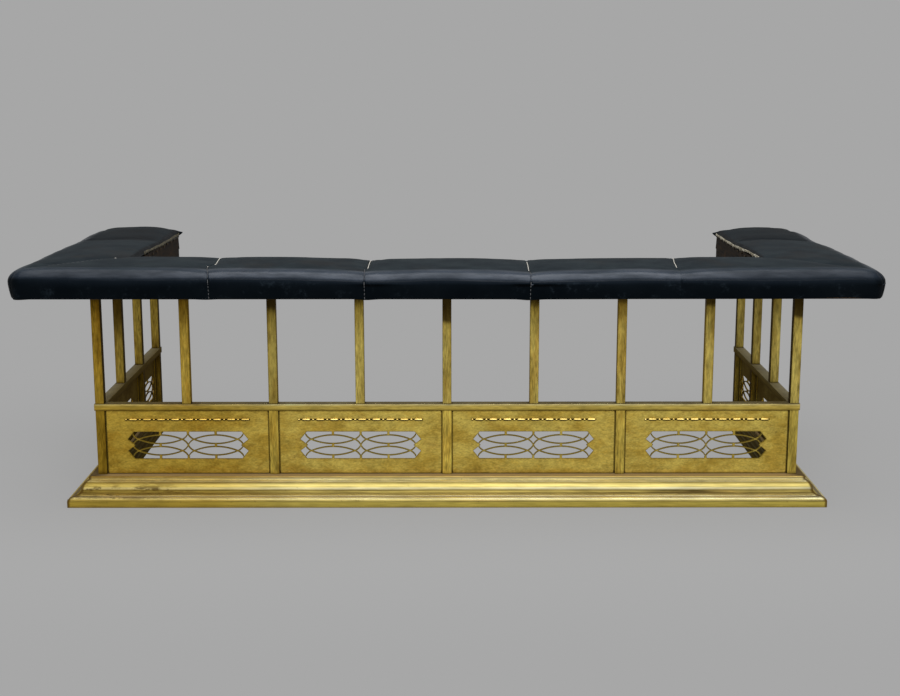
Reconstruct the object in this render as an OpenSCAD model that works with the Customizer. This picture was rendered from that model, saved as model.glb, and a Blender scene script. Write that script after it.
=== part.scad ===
// Club fender: a brass hearth fender on a moulded plinth, with pierced panels,
// square rail posts and a padded leather seat, open at the hearth side.
// +Z is up and the front faces -Y. The origin is on the floor, at the middle of
// the seat's outline. Each of the three walls is drawn in its own wall frame:
// x runs along the wall, y runs inward from the outer face of the posts.

/* [Frame] */
// Width over the outer faces of the corner posts
frame_w = 1500; // [1250:10:1800]
// Depth from the outer face of the front posts to the back face of the last side posts
frame_d = 624; // [520:2:760]
// Side of the square posts
post_w = 19; // [16:0.5:23]
// Wall of the post tube
post_wall = 1.6; // [1:0.1:3]
// Height of the lower posts and the panels, between the plinth and the middle rail
lower_h = 141; // [120:1:170]
// Height of the upper posts, between the middle rail and the top rail
upper_h = 243; // [200:1:300]

/* [Rails] */
// Height of the middle rail
rail_h = 14; // [10:0.5:18]
// How far the middle rail stands proud of the posts on each side
rail_proud = 2; // [1:0.5:5]
// Thickness of the steel top rail
top_rail_t = 6; // [4:0.5:8]
// How far the top rail reaches past the posts on each side
top_rail_lip = 5.5; // [3:0.5:10]

/* [Plinth] */
// Thickness of the plinth's brass sheet
sheet_t = 1.5; // [1:0.1:2]
// Radius of the bead along the bottom edge
bead_r = 9; // [7:0.5:11]
// Height of the upright face under the bead's centre
fascia_h = 12.5; // [8:0.5:18]
// Width of the flat fillet between the bead and the cove
fillet_w = 6; // [4:0.5:10]
// Height of the small step at the foot of the cove
quirk_h = 1.5; // [1:0.5:3]
// Radius of the cove
cove_r = 10; // [7:0.5:12]
// Radius of the ovolo above the cove
ovolo_r = 19; // [16:0.5:22]
// How far the ovolo's foot stands out from the posts
ovolo_out = 31; // [28:0.5:36]
// Thickness of the top slab above the ovolo
slab_t = 6; // [5:0.5:8]
// How far the top slab stands out from the posts
slab_out = 17; // [13:0.5:20]
// Radius of the top slab's nose
nose_r = 2.5; // [2:0.25:4]
// How far the plinth reaches in behind the posts
plinth_in = 7; // [5:0.5:12]
// How far the plinth runs on behind the last side posts
plinth_over = 6; // [3:0.5:15]
// Side gap around the plinth's wooden core
core_gap = 0.5; // [0.3:0.1:1]

/* [Panels] */
// Distance from the posts' outer face back to the panel's face
panel_set = 3.5; // [2:0.5:5]
// Thickness of the pierced panel plate
panel_t = 3; // [2:0.5:4]
// Open joint between a panel plate and the posts beside it
panel_gap = 3; // [2:0.5:4]
// Open joint above and below a panel plate
panel_gap_v = 1.5; // [1:0.5:3]
// Thickness of the strip frame behind the plate
strip_t = 2; // [1:0.5:3]
// Width of that strip frame behind the plate's edge
strip_w = 9; // [6:1:12]
// How far the piercing's middle lies above the middle of the space below the bead strip
fret_rise = 3.5; // [0:0.5:6]
// Distance between the middles of the two piercing rows
fret_rows = 25.3; // [24:0.1:27]
// Length of one pointed opening, tip to tip
lens_len = 93.5; // [80:0.5:100]
// Height of one pointed opening, between the middles of its strips
lens_h = 19; // [16:0.5:21]
// Width of the pierced strips
fret_strip = 2.7; // [2:0.1:3.5]
// Radius of the strips around the small diamonds
diamond_r = 24; // [20:1:40]
// Distance from the middle rail down to the bead strip's middle
bead_strip_down = 21; // [16:0.5:28]
// Diameter of the bead strip's long beads
barrel_d = 6.6; // [5:0.2:8]
// Length of one long bead
barrel_len = 20; // [16:0.5:22]
// Spacing of the long beads
barrel_pitch = 30; // [28:0.2:34]
// Diameter of the short bead between two long ones
reel_d = 5.4; // [4:0.2:6]
// Length of that short bead
reel_len = 5.4; // [4:0.2:6]

/* [Seat] */
// How far the seat stands out past the posts' outer face
seat_over = 137; // [110:1:160]
// How far the seat reaches in behind the posts
seat_in = 54; // [45:1:80]
// How far the seat runs on behind the last side posts
arm_over = 26; // [15:1:50]
// Height of the padded seat above the top rail
pad_h = 54; // [45:1:70]
// How far the leather skirt hangs below the top rail's upper face
skirt_drop = 2; // [1:0.5:4]
// Thickness of the padded skirt around the board
skirt_t = 8; // [5:0.5:12]
// Thickness of the seat board
board_t = 24; // [18:1:30]
// Radius of the seat's front corners, seen from above
front_corner_r = 30; // [20:1:45]
// Radius of the seat's outer back corners, seen from above
back_corner_r = 60; // [40:1:80]
// Radius of the pad's rounded outer top edge
pad_edge_r = 24; // [15:1:26]
// Radius of the pad's rounded inner top edge
pad_inner_r = 10; // [5:1:14]
// Distance from the middle of the front to the first seam on each side
seam_near = 165; // [120:1:220]
// Distance from the middle of the front to the second seam on each side
seam_far = 478; // [380:1:520]
// Distance from the posts' outer face back to the seam across each arm
arm_seam = 400; // [300:1:440]
// Thickness of the wooden lipping along the seat's inner edge
lip_t = 14; // [10:0.5:20]
// Height of that lipping
lip_h = 62; // [55:1:70]
// How far the lipping hangs below the seat board
lip_drop = 24; // [15:1:30]
// How far the leather stands proud of the lipping's inner face
leather_t = 1.5; // [1:0.1:2.5]

/* [Fixings] */
// Diameter of the tie rods inside the posts
rod_d = 6; // [5:0.5:8]
// Clearance between a rod and a plain hole
rod_gap = 0.5; // [0.2:0.1:0.8]
// Clearance between a rod and a threaded hole or nut
thread_gap = 0.05; // [0.02:0.01:0.1]
// Width across the flats of the rod nuts
nut_af = 10; // [9:0.5:13]
// Thickness of the rod nuts
nut_t = 5; // [4:0.5:7]
// Diameter of the pockets that hold the nuts
pocket_d = 20; // [16:1:24]
// Depth of the nut pockets in the plinth's core
core_pocket = 14; // [10:1:16]
// Depth of the nut pockets in the seat board
board_pocket = 9; // [8:0.5:12]
// Length of rod that stands out of its nut
rod_end = 2; // [1:0.5:3]
// Depth of the threaded holes in the middle rail
rail_thread = 10; // [6:0.5:10]
// Shank diameter of the seat screws
screw_d = 4; // [3:0.5:5]
// Head diameter of the seat screws
screw_head_d = 8; // [7:0.5:10]
// Head height of the seat screws
screw_head_h = 2.4; // [2:0.1:3]
// Length of a seat screw's shank
screw_len = 22; // [16:1:26]
// Diameter of the tacks' heads
tack_d = 7; // [5:0.5:9]
// Height of a tack's domed head
tack_h = 1.6; // [1:0.1:2.5]
// Shank diameter of the tacks
tack_shank_d = 1.6; // [1:0.1:2]
// Length of a tack's shank
tack_len = 9; // [6:0.5:12]
// Spacing of the tacks, at most
tack_pitch = 46; // [35:1:70]
// Distance from the lipping's top edge down to the tacks
tack_down = 7; // [5:0.5:10]

/* [Hidden] */
$fn = 64;
FRONT_BAYS = 8;
SIDE_BAYS = 3;
ARM_POSTS = [1, 2, 3];
// A lower post stands under every second front post, and under these side posts
LOWER_SIDE_POSTS = [2, 3];
BRASS = [0.72, 0.62, 0.30];
DARK_BRASS = [0.45, 0.38, 0.16];
STEEL = [0.30, 0.30, 0.31];
TIMBER = [0.42, 0.28, 0.16];
LEATHER = [0.16, 0.18, 0.20];
FAR = 3000;
EPS = 0.01;

post_mid = post_w / 2;
front_bay = (frame_w - post_w) / FRONT_BAYS;
side_bay = (frame_d - post_w) / SIDE_BAYS;
// Where the posts' outer faces lie in the row's own frame
side_x = -frame_w / 2;
seat_depth = seat_over + frame_d + arm_over;
front_y = seat_over - seat_depth / 2;

// Heights of the plinth's members, from the floor up
fillet_z = fascia_h + bead_r;
cove_z = fillet_z + quirk_h;
ovolo_z = cove_z + cove_r;
slab_z = ovolo_z + ovolo_r;
plinth_h = slab_z + slab_t;
// Distances of the members' outer edges from the posts' outer face
cove_out = ovolo_out + cove_r;
fillet_out = cove_out + fillet_w;
plinth_out = fillet_out + bead_r;
plinth_back = post_w + plinth_in;
plinth_end = frame_d + plinth_over;

// Heights of the rails and of the seat
rail_z = plinth_h + lower_h;
rail_top = rail_z + rail_h;
top_rail_z = rail_top + upper_h;
board_z = top_rail_z + top_rail_t;
skirt_z = board_z - skirt_drop;
pad_z = board_z + board_t;
pad_top = board_z + pad_h;
lip_z = board_z - lip_drop;
lip_top = lip_z + lip_h;
rail_end = frame_d + rail_proud;

// Lines of the seat in the wall frame
seat_inner = post_w + seat_in;
lip_outer = seat_inner - leather_t - lip_t;
lip_inner = seat_inner - leather_t;
board_out = seat_over - skirt_t;
arm_end = frame_d + arm_over;
board_end = arm_end - skirt_t;

// Piercing: one row's openings, crossings and ends
diamond_half = fret_rows / 2;
lens_pitch = lens_len + 2 * diamond_half;
lens_r = (pow(lens_len / 2, 2) + pow(lens_h / 2, 2)) / lens_h;
// A small diamond's side is an arc, turned so that its ends lie on a 45 degree chord
diamond_chord = diamond_half * sqrt(2);
diamond_angle = 45 - asin(diamond_chord / 2 / diamond_r);
// How far the window's straight edges lie past the rows' outer corners, and its ends short of them
fret_edge = 4.4;
fret_end = 3.5;
fret_half_h = fret_rows + fret_edge;
// How far the window's end points reach past its straight edges, and its notches in from them
fret_tip = 14;
fret_notch = 2;
bridge_w = 5;
// Heights above the plinth of the bead strip and of the middle of the piercing
bead_strip_z = lower_h - bead_strip_down;
fret_z = bead_strip_z / 2 + fret_rise;
// Bead strip: radius of its thin neck, and length of a bead's tapered ends
neck_r = reel_d / 2 - 1;
barrel_taper = 4;
reel_taper = 1.4;
// Clear widths of the panels' bays, between the lower posts
long_front = 2 * front_bay - post_w;
long_side = 2 * side_bay - post_w;
short_side = side_bay - post_w;

FRONT_POSTS = [for (i = [0:FRONT_BAYS]) i];
LOWER_FRONT_POSTS = [for (i = [0:2:FRONT_BAYS]) i];

// ---- placing ----

function front_x(i) = side_x + post_mid + i * front_bay;
function side_a(j) = post_mid + j * side_bay;

module front_wall() {
    translate([0, front_y, 0]) children();
}

// The left wall's x runs from the front posts' outer face towards the back
module left_wall() {
    translate([side_x, front_y, 0]) mirror([1, -1, 0]) children();
}

module right_wall() {
    mirror([1, 0, 0]) left_wall() children();
}

module side_wall(right) {
    if (right) right_wall() children();
    else left_wall() children();
}

// A section drawn as (inward, up), drawn out along the wall from x0 to x1
module along(x0, x1) {
    translate([x0, 0, 0]) rotate([90, 0, 90]) linear_extrude(x1 - x0) children();
}

// A shape drawn as (along, up), made solid between two distances inward
module facing(y0, y1) {
    translate([0, y1, 0]) rotate([90, 0, 0]) linear_extrude(y1 - y0) children();
}

// The space between the front wall's two mitre planes
module front_mitre() {
    translate([0, 0, -FAR / 2]) linear_extrude(FAR)
        polygon([[side_x - FAR, -FAR], [-side_x + FAR, -FAR],
                 [-side_x - FAR, FAR], [side_x + FAR, FAR]]);
}

// The space behind a side wall's mitre plane
module side_mitre() {
    translate([0, 0, -FAR / 2]) linear_extrude(FAR)
        polygon([[-FAR, -FAR], [FAR, -FAR], [FAR, FAR]]);
}

// A section taken along a whole wall, mitred at its corners
module front_run() {
    front_wall() intersection() {
        along(side_x - FAR / 4, -side_x + FAR / 4) children();
        front_mitre();
    }
}

module side_run(right, end) {
    side_wall(right) intersection() {
        along(-FAR / 4, end) children();
        side_mitre();
    }
}

// Children at each front post, at each side post, and at those on a lower post
module at_front_posts(which) {
    front_wall() for (i = which) translate([front_x(i), post_mid, 0]) children();
}

module at_side_posts(right, which) {
    side_wall(right) for (j = which) translate([side_a(j), post_mid, 0]) children();
}

module at_every_post(front, side) {
    at_front_posts(front) children();
    at_side_posts(false, side) children();
    at_side_posts(true, side) children();
}

module at_long_rods() {
    at_every_post(LOWER_FRONT_POSTS, LOWER_SIDE_POSTS) children();
}

module at_short_rods() {
    at_every_post([1, 3, 5, 7], [1]) children();
}

module at_seat_screws() {
    front_wall() for (i = [0:FRONT_BAYS - 1])
        translate([(front_x(i) + front_x(i + 1)) / 2, post_mid, 0]) children();
    for (right = [false, true])
        side_wall(right) for (j = [0:SIDE_BAYS - 1])
            translate([(side_a(j) + side_a(j + 1)) / 2, post_mid, 0]) children();
}

// Evenly spaced places between two ends, half a space in from each
function spread(x0, x1, pitch) =
    let (n = ceil((x1 - x0) / pitch))
    [for (k = [0:n - 1]) x0 + (k + 0.5) * (x1 - x0) / n];

// Children stand at the tacks with their own x pointing out of the lipping
module at_front_tacks() {
    inner_x = side_x + lip_inner;
    front_wall() for (x = spread(inner_x, -inner_x, tack_pitch))
        translate([x, lip_inner, lip_top - tack_down]) rotate([0, 0, 90]) children();
}

module at_side_tacks(right) {
    side_wall(right) for (a = spread(lip_inner, board_end, tack_pitch))
        translate([a, lip_inner, lip_top - tack_down]) rotate([0, 0, 90]) children();
}

module hole(d, z0, z1) {
    translate([0, 0, z0]) cylinder(d = d, h = z1 - z0);
}

// ---- plinth ----

// The plinth's section, every face moved in by t
module plinth_section(t) {
    foot = t > 0 ? -1 : 0;
    back = plinth_back - t;
    // upright face and bead
    translate([t - plinth_out, foot]) square([plinth_out + back - t, fascia_h - foot]);
    translate([-fillet_out, fascia_h]) circle(bead_r - t);
    // fillet
    translate([-fillet_out, foot]) square([fillet_out + back, fillet_z - t - foot]);
    // cove
    difference() {
        translate([t - cove_out, 0]) square([cove_out + back - t, ovolo_z]);
        translate([-cove_out, ovolo_z]) circle(cove_r + t);
    }
    // ovolo
    intersection() {
        translate([ovolo_r - ovolo_out, ovolo_z]) circle(ovolo_r - t);
        translate([-ovolo_out, ovolo_z]) square(2 * ovolo_r);
    }
    translate([ovolo_r - ovolo_out, cove_z]) square([back + ovolo_out - ovolo_r, slab_z - t - cove_z]);
    // top slab with its rounded nose
    translate([t - slab_out, ovolo_z]) square([slab_out + back - t, plinth_h - nose_r - ovolo_z]);
    translate([nose_r - slab_out, ovolo_z]) square([slab_out + back - nose_r, plinth_h - t - ovolo_z]);
    translate([nose_r - slab_out, plinth_h - nose_r]) circle(nose_r - t);
}

module plinth_shell_section() {
    difference() {
        plinth_section(0);
        plinth_section(sheet_t);
    }
}

module rod_holes_through_sheet() {
    at_long_rods() hole(rod_d + 2 * rod_gap, ovolo_z, plinth_h + 1);
}

module plinth_front() {
    color(BRASS) difference() {
        front_run() plinth_shell_section();
        rod_holes_through_sheet();
    }
}

module plinth_side(right) {
    color(BRASS) difference() {
        side_run(right, plinth_end) plinth_shell_section();
        rod_holes_through_sheet();
    }
}

// Flat plates that close the plinth's back ends
module plinth_end_plates() {
    color(BRASS) for (right = [false, true])
        side_wall(right) along(plinth_end, plinth_end + sheet_t) plinth_section(0);
}

// Wooden core, in two steps that follow the inside of the sheet
module core_section() {
    outer = fillet_out - sheet_t - core_gap;
    back = plinth_back - sheet_t;
    translate([-outer, 0]) square([outer + back, fillet_z - sheet_t - core_gap]);
    translate([ovolo_r - ovolo_out, 0])
        square([back + ovolo_out - ovolo_r, plinth_h - sheet_t]);
}

module core_holes() {
    at_long_rods() {
        hole(rod_d + 2 * rod_gap, -1, plinth_h);
        hole(pocket_d, -1, core_pocket);
    }
}

module plinth_core_front() {
    color(TIMBER) difference() {
        front_run() core_section();
        core_holes();
    }
}

module plinth_core_side(right) {
    color(TIMBER) difference() {
        side_run(right, plinth_end) core_section();
        core_holes();
    }
}

// ---- posts ----

module post_tube(z0, z1) {
    bore = post_w - 2 * post_wall;
    translate([0, 0, z0]) linear_extrude(z1 - z0) difference() {
        square(post_w, center = true);
        square(bore, center = true);
    }
}

module lower_post_front(i) {
    color(BRASS) at_front_posts([LOWER_FRONT_POSTS[i]]) post_tube(plinth_h, rail_z);
}

module lower_posts_side(right) {
    color(BRASS) at_side_posts(right, LOWER_SIDE_POSTS) post_tube(plinth_h, rail_z);
}

module post_front(i) {
    color(BRASS) at_front_posts([i]) post_tube(rail_top, top_rail_z);
}

module posts_side(right) {
    color(BRASS) at_side_posts(right, ARM_POSTS) post_tube(rail_top, top_rail_z);
}

// ---- rails ----

module middle_rail_section() {
    translate([-rail_proud, rail_z]) square([post_w + 2 * rail_proud, rail_h]);
}

module rail_holes() {
    at_long_rods() hole(rod_d + 2 * rod_gap, rail_z - 1, rail_top + 1);
    at_short_rods() hole(rod_d + 2 * thread_gap, rail_top - rail_thread, rail_top + 1);
}

module middle_rail_front() {
    color(BRASS) difference() {
        front_run() middle_rail_section();
        rail_holes();
    }
}

module middle_rail_side(right) {
    color(BRASS) difference() {
        side_run(right, rail_end) middle_rail_section();
        rail_holes();
    }
}

module top_rail_section() {
    translate([-top_rail_lip, top_rail_z]) square([post_w + 2 * top_rail_lip, top_rail_t]);
}

module top_rail_holes() {
    at_every_post(FRONT_POSTS, ARM_POSTS)
        hole(rod_d + 2 * rod_gap, top_rail_z - 1, board_z + 1);
    at_seat_screws() hole(screw_d + 2 * rod_gap, top_rail_z - 1, board_z + 1);
}

module top_rail_front() {
    color(STEEL) difference() {
        front_run() top_rail_section();
        top_rail_holes();
    }
}

module top_rail_side(right) {
    color(STEEL) difference() {
        side_run(right, rail_end) top_rail_section();
        top_rail_holes();
    }
}

// ---- pierced panels ----

// A stretch of strip on a circle whose middle line has radius r
module arc_strip(r) {
    difference() {
        circle(r + fret_strip / 2, $fn = 180);
        circle(r - fret_strip / 2, $fn = 180);
    }
}

// The upper strip of one pointed opening, centred on the opening
module lens_strip() {
    intersection() {
        translate([0, lens_h / 2 - lens_r]) arc_strip(lens_r);
        translate([-lens_len / 2, -fret_strip]) square([lens_len, lens_h + fret_strip]);
    }
}

// One side of a small diamond, from a crossing at the origin up to its outer corner
module diamond_strip() {
    intersection() {
        rotate(diamond_angle) translate([0, diamond_r]) arc_strip(diamond_r);
        translate([0, -fret_strip]) square([diamond_half, diamond_half + fret_strip]);
    }
}

// The four strips that meet where two pointed openings end
module crossing() {
    for (up = [1, -1]) scale([1, up]) diamond_strip();
}

module fret_row(lenses) {
    first = -(lenses - 1) / 2 * lens_pitch;
    for (k = [0:lenses - 1], up = [0, 1]) translate([first + k * lens_pitch, 0]) {
        mirror([0, up]) lens_strip();
        for (end = [0, 1]) mirror([end, 0]) translate([lens_len / 2, 0]) crossing();
    }
}

// A small bridge from a strip to the frame above it, and its mirror image below
module edge_bridges(x, z) {
    for (up = [1, -1]) scale([1, up])
        translate([x - bridge_w / 2, z]) square([bridge_w, fret_half_h - z + EPS]);
}

// Small bridges that tie the crests and the inner diamonds to the frame, and the rows to each other
module fret_bridges(lenses) {
    first = -(lenses - 1) / 2 * lens_pitch;
    inner = (fret_rows - lens_h) / 2;
    for (k = [0:lenses - 1]) {
        edge_bridges(first + k * lens_pitch, (fret_rows + lens_h) / 2);
        translate([first + k * lens_pitch - bridge_w / 2, -inner]) square([bridge_w, 2 * inner]);
    }
    if (lenses > 1) for (k = [1:lenses - 1])
        edge_bridges(first + (k - 0.5) * lens_pitch, fret_rows);
}

function fret_half_w(lenses) =
    (lenses - 1) / 2 * lens_pitch + lens_len / 2 + diamond_half - fret_end;

// The window that the strips stand in: straight above and below, with two points at each end
module fret_window(lenses) {
    w = fret_half_w(lenses);
    tip = w + fret_tip;
    notch = w - fret_notch;
    row = fret_rows / 2;
    polygon([
        [-w, fret_half_h], [w, fret_half_h],
        [tip, row], [notch, 0], [tip, -row],
        [w, -fret_half_h], [-w, -fret_half_h],
        [-tip, -row], [-notch, 0], [-tip, row]
    ]);
}

module fret_openings(lenses) {
    difference() {
        fret_window(lenses);
        for (s = [1, -1]) translate([0, s * fret_rows / 2]) fret_row(lenses);
        fret_bridges(lenses);
    }
}

// A panel for a clear space of the given width, centred on the wall's x
module panel(clear_w, lenses) {
    plate_w = clear_w - 2 * panel_gap;
    plate_h = lower_h - 2 * panel_gap_v;
    back = panel_set + panel_t;
    inner = 2 * (panel_gap + strip_w);
    facing(panel_set, back) difference() {
        translate([-plate_w / 2, plinth_h + panel_gap_v]) square([plate_w, plate_h]);
        translate([0, plinth_h + fret_z]) fret_openings(lenses);
    }
    facing(back, back + strip_t) difference() {
        translate([-clear_w / 2, plinth_h]) square([clear_w, lower_h]);
        translate([(inner - clear_w) / 2, plinth_h + inner / 2]) square([clear_w - inner, lower_h - inner]);
    }
}

module panel_front(i) {
    color(BRASS) front_wall() translate([front_x(2 * i + 1), 0, 0]) panel(long_front, 2);
}

module panel_side_long(right) {
    color(BRASS) side_wall(right) translate([side_a(1), 0, 0]) panel(long_side, 2);
}

module panel_side_short(right) {
    color(BRASS) side_wall(right) translate([side_a(2.5), 0, 0]) panel(short_side, 1);
}

// ---- bead strips ----

// Length of a strip: a short bead leads each long one
function strip_len(beads) = beads * barrel_pitch - (barrel_pitch - barrel_len - reel_len) / 2;

// Half of a bead's outline, from the strip's own line outward, tapered at both ends
module bead_outline(r, length, taper) {
    polygon([[0, 0], [neck_r, 0], [r, taper], [r, length - taper], [neck_r, length], [0, length]]);
}

// Half of the strip's outline, turned about its own length to make a row of beads
module bead_profile(beads) {
    square([neck_r, strip_len(beads)]);
    for (k = [0:beads - 1]) {
        translate([0, k * barrel_pitch])
            bead_outline(reel_d / 2, reel_len, reel_taper);
        translate([0, strip_len(beads) - barrel_len - k * barrel_pitch])
            bead_outline(barrel_d / 2, barrel_len, barrel_taper);
    }
}

module bead_strip(beads) {
    length = strip_len(beads);
    intersection() {
        translate([-length / 2, panel_set, plinth_h + bead_strip_z]) rotate([90, 0, 90])
            rotate_extrude() bead_profile(beads);
        translate([-length, panel_set - barrel_d, 0]) cube([2 * length, barrel_d, FAR]);
    }
}

module bead_strips() {
    color(BRASS) {
        front_wall() for (i = [1:2:FRONT_BAYS]) translate([front_x(i), 0, 0]) bead_strip(9);
        for (right = [false, true]) side_wall(right) {
            translate([side_a(1), 0, 0]) bead_strip(9);
            translate([side_a(2.5), 0, 0]) bead_strip(5);
        }
    }
}

// ---- rods and nuts ----

rod_top = board_z + nut_t + rod_end;

module tie_rods() {
    color(STEEL) {
        at_long_rods() hole(rod_d, core_pocket - nut_t - rod_end, rod_top);
        at_short_rods() hole(rod_d, rail_top - rail_thread, rod_top);
    }
}

module nut() {
    difference() {
        cylinder(d = nut_af / cos(30), h = nut_t, $fn = 6);
        translate([0, 0, -1]) cylinder(d = rod_d + 2 * thread_gap, h = nut_t + 2);
    }
}

module tie_rod_nuts() {
    color(STEEL) {
        at_every_post(FRONT_POSTS, ARM_POSTS) translate([0, 0, board_z]) nut();
        at_long_rods() translate([0, 0, core_pocket - nut_t]) nut();
    }
}

// ---- seat ----

// The front of the board runs the full width, and the side boards butt against it
module board_plan() {
    half_w = board_out - side_x;
    r = front_corner_r - skirt_t;
    difference() {
        translate([-half_w, -board_out]) square([2 * half_w, board_out + board_end]);
        for (s = [1, -1]) scale([s, 1]) {
            translate([half_w, -board_out]) rotate(90) corner_cut(r);
            translate([half_w, board_end]) rotate(180) corner_cut(back_corner_r - skirt_t);
        }
        hearth_plan(lip_outer);
    }
}

// What a rounded corner takes off a square one, whose point is at the origin
module corner_cut(r) {
    difference() {
        translate([-EPS, -EPS]) square(r + EPS);
        translate([r, r]) circle(r);
    }
}

// The open space inside the seat, whose edge lies this far in from the posts
module hearth_plan(inward) {
    half_w = -side_x - inward;
    translate([-half_w, inward]) square([2 * half_w, FAR]);
}

module seat_holes() {
    at_every_post(FRONT_POSTS, ARM_POSTS) hole(pocket_d, board_z - 1, board_z + board_pocket);
    at_seat_screws() hole(screw_d + 2 * thread_gap, board_z - 1, top_rail_z + screw_len);
}

module seat_board(low, high) {
    color(TIMBER) difference() {
        front_wall() intersection() {
            translate([0, 0, board_z]) linear_extrude(board_t) board_plan();
            translate([low[0], low[1], 0]) cube([high[0] - low[0], high[1] - low[1], FAR]);
        }
        seat_holes();
    }
}

module seat_board_front() {
    seat_board([-FAR, -FAR], [FAR, lip_outer]);
}

module seat_board_left() {
    seat_board([-FAR, lip_outer], [side_x + lip_outer, FAR]);
}

module seat_board_right() {
    seat_board([-side_x - lip_outer, lip_outer], [FAR, FAR]);
}

module seat_screws() {
    color(STEEL) at_seat_screws() {
        hole(screw_d, top_rail_z, top_rail_z + screw_len);
        hole(screw_head_d, top_rail_z - screw_head_h, top_rail_z);
    }
}

module lipping_section() {
    translate([lip_outer, lip_z]) square([lip_t, lip_h]);
}

module tack_hole() {
    rotate([0, -90, 0]) hole(tack_shank_d + 2 * thread_gap, -1, tack_len + 1);
}

module seat_lipping_front() {
    color(TIMBER) difference() {
        front_run() lipping_section();
        at_front_tacks() tack_hole();
    }
}

module seat_lipping_side(right) {
    color(TIMBER) difference() {
        side_run(right, board_end) lipping_section();
        at_side_tacks(right) tack_hole();
    }
}

// A domed tack, its shank along -x and its head outside the leather
module tack() {
    dome_r = (pow(tack_d / 2, 2) + pow(tack_h, 2)) / (2 * tack_h);
    rotate([0, 90, 0]) {
        hole(tack_shank_d, -tack_len, leather_t);
        translate([0, 0, leather_t]) intersection() {
            translate([0, 0, tack_h - dome_r]) sphere(dome_r);
            cylinder(d = tack_d + 1, h = tack_h);
        }
    }
}

module seat_tacks() {
    color(DARK_BRASS) {
        at_front_tacks() tack();
        for (right = [false, true]) at_side_tacks(right) tack();
    }
}

// ---- padded seat ----

// The seat's outline from above, its outer edge moved in by t
module seat_plan(t) {
    half_w = seat_over - side_x - t;
    difference() {
        translate([-half_w, t - seat_over]) square([2 * half_w, seat_over + arm_end - 2 * t]);
        for (s = [1, -1]) scale([s, 1]) {
            translate([half_w, t - seat_over]) rotate(90) corner_cut(front_corner_r);
            translate([half_w, arm_end - t]) rotate(180) corner_cut(back_corner_r);
        }
        hearth_plan(seat_inner);
    }
}

// The pad's section with rounded top edges, as (inward, up)
module pad_section() {
    w = seat_over + seat_inner;
    h = pad_top - skirt_z;
    translate([-seat_over, skirt_z]) difference() {
        square([w, h]);
        translate([0, h]) rotate(-90) corner_cut(pad_edge_r);
        translate([w, h]) rotate(180) corner_cut(pad_inner_r);
    }
}

// The whole leather cover and its stuffing, hollow where the board and lipping are
module seat_cover() {
    difference() {
        front_wall() translate([0, 0, skirt_z]) linear_extrude(pad_top - skirt_z) seat_plan(0);
        front_wall() translate([0, 0, skirt_z - 1]) linear_extrude(pad_z - skirt_z + 1) board_plan();
        front_run() lipping_space();
        side_run(false, FAR / 4) lipping_space();
        side_run(true, FAR / 4) lipping_space();
    }
}

module lipping_space() {
    translate([lip_outer - EPS, skirt_z - 1]) square([seat_in, lip_top - skirt_z + 1]);
}

module front_pad(x0, x1) {
    color(LEATHER) intersection() {
        seat_cover();
        front_run() pad_section();
        translate([x0, -FAR / 2, 0]) cube([x1 - x0, FAR, FAR]);
    }
}

module side_pad(right, a0, a1) {
    color(LEATHER) intersection() {
        seat_cover();
        side_run(right, arm_end) pad_section();
        front_wall() translate([right ? 0 : -FAR, a0, 0]) cube([FAR, a1 - a0, FAR]);
    }
}

FRONT_SEAMS = [-FAR / 2, -seam_far, -seam_near, seam_near, seam_far, FAR / 2];
ARM_SEAMS = [-FAR / 2, arm_seam, FAR / 2];

// ---- assembly ----

plinth_front();
plinth_side(false);  // plinth_left
plinth_side(true);  // plinth_right
plinth_end_plates();
plinth_core_front();
plinth_core_side(false);  // plinth_core_left
plinth_core_side(true);  // plinth_core_right
for (i = [1:5])
    lower_post_front(i - 1);
lower_posts_side(false);  // lower_posts_left
lower_posts_side(true);  // lower_posts_right
for (i = [1:4])
    panel_front(i - 1);
panel_side_long(false);  // panel_left_long
panel_side_short(false);  // panel_left_short
panel_side_long(true);  // panel_right_long
panel_side_short(true);  // panel_right_short
bead_strips();
middle_rail_front();
middle_rail_side(false);  // middle_rail_left
middle_rail_side(true);  // middle_rail_right
for (i = [1:9])
    post_front(i - 1);
posts_side(false);  // posts_left
posts_side(true);  // posts_right
top_rail_front();
top_rail_side(false);  // top_rail_left
top_rail_side(true);  // top_rail_right
tie_rods();
tie_rod_nuts();
seat_board_front();
seat_board_left();
seat_board_right();
seat_screws();
seat_lipping_front();
seat_lipping_side(false);  // seat_lipping_left
seat_lipping_side(true);  // seat_lipping_right
seat_tacks();
for (i = [1:5])
    front_pad(FRONT_SEAMS[i - 1], FRONT_SEAMS[i]);
for (i = [1:2])
    side_pad(false, ARM_SEAMS[i - 1], ARM_SEAMS[i]);
for (i = [1:2])
    side_pad(true, ARM_SEAMS[i - 1], ARM_SEAMS[i]);
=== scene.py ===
import functools
import math

import bmesh
import bpy
import numpy as np
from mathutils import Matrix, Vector


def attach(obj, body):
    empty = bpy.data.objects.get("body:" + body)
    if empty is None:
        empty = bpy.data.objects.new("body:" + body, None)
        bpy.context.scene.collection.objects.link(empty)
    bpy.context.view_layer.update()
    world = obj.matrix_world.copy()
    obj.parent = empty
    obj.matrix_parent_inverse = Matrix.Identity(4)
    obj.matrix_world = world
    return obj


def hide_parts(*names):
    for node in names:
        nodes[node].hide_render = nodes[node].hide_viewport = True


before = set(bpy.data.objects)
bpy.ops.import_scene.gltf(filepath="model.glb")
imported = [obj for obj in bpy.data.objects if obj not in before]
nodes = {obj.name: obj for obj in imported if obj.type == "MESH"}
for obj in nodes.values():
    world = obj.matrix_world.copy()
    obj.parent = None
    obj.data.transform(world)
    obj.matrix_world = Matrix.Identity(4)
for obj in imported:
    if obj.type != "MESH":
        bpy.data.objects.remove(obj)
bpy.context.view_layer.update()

MM = 0.001

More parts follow.
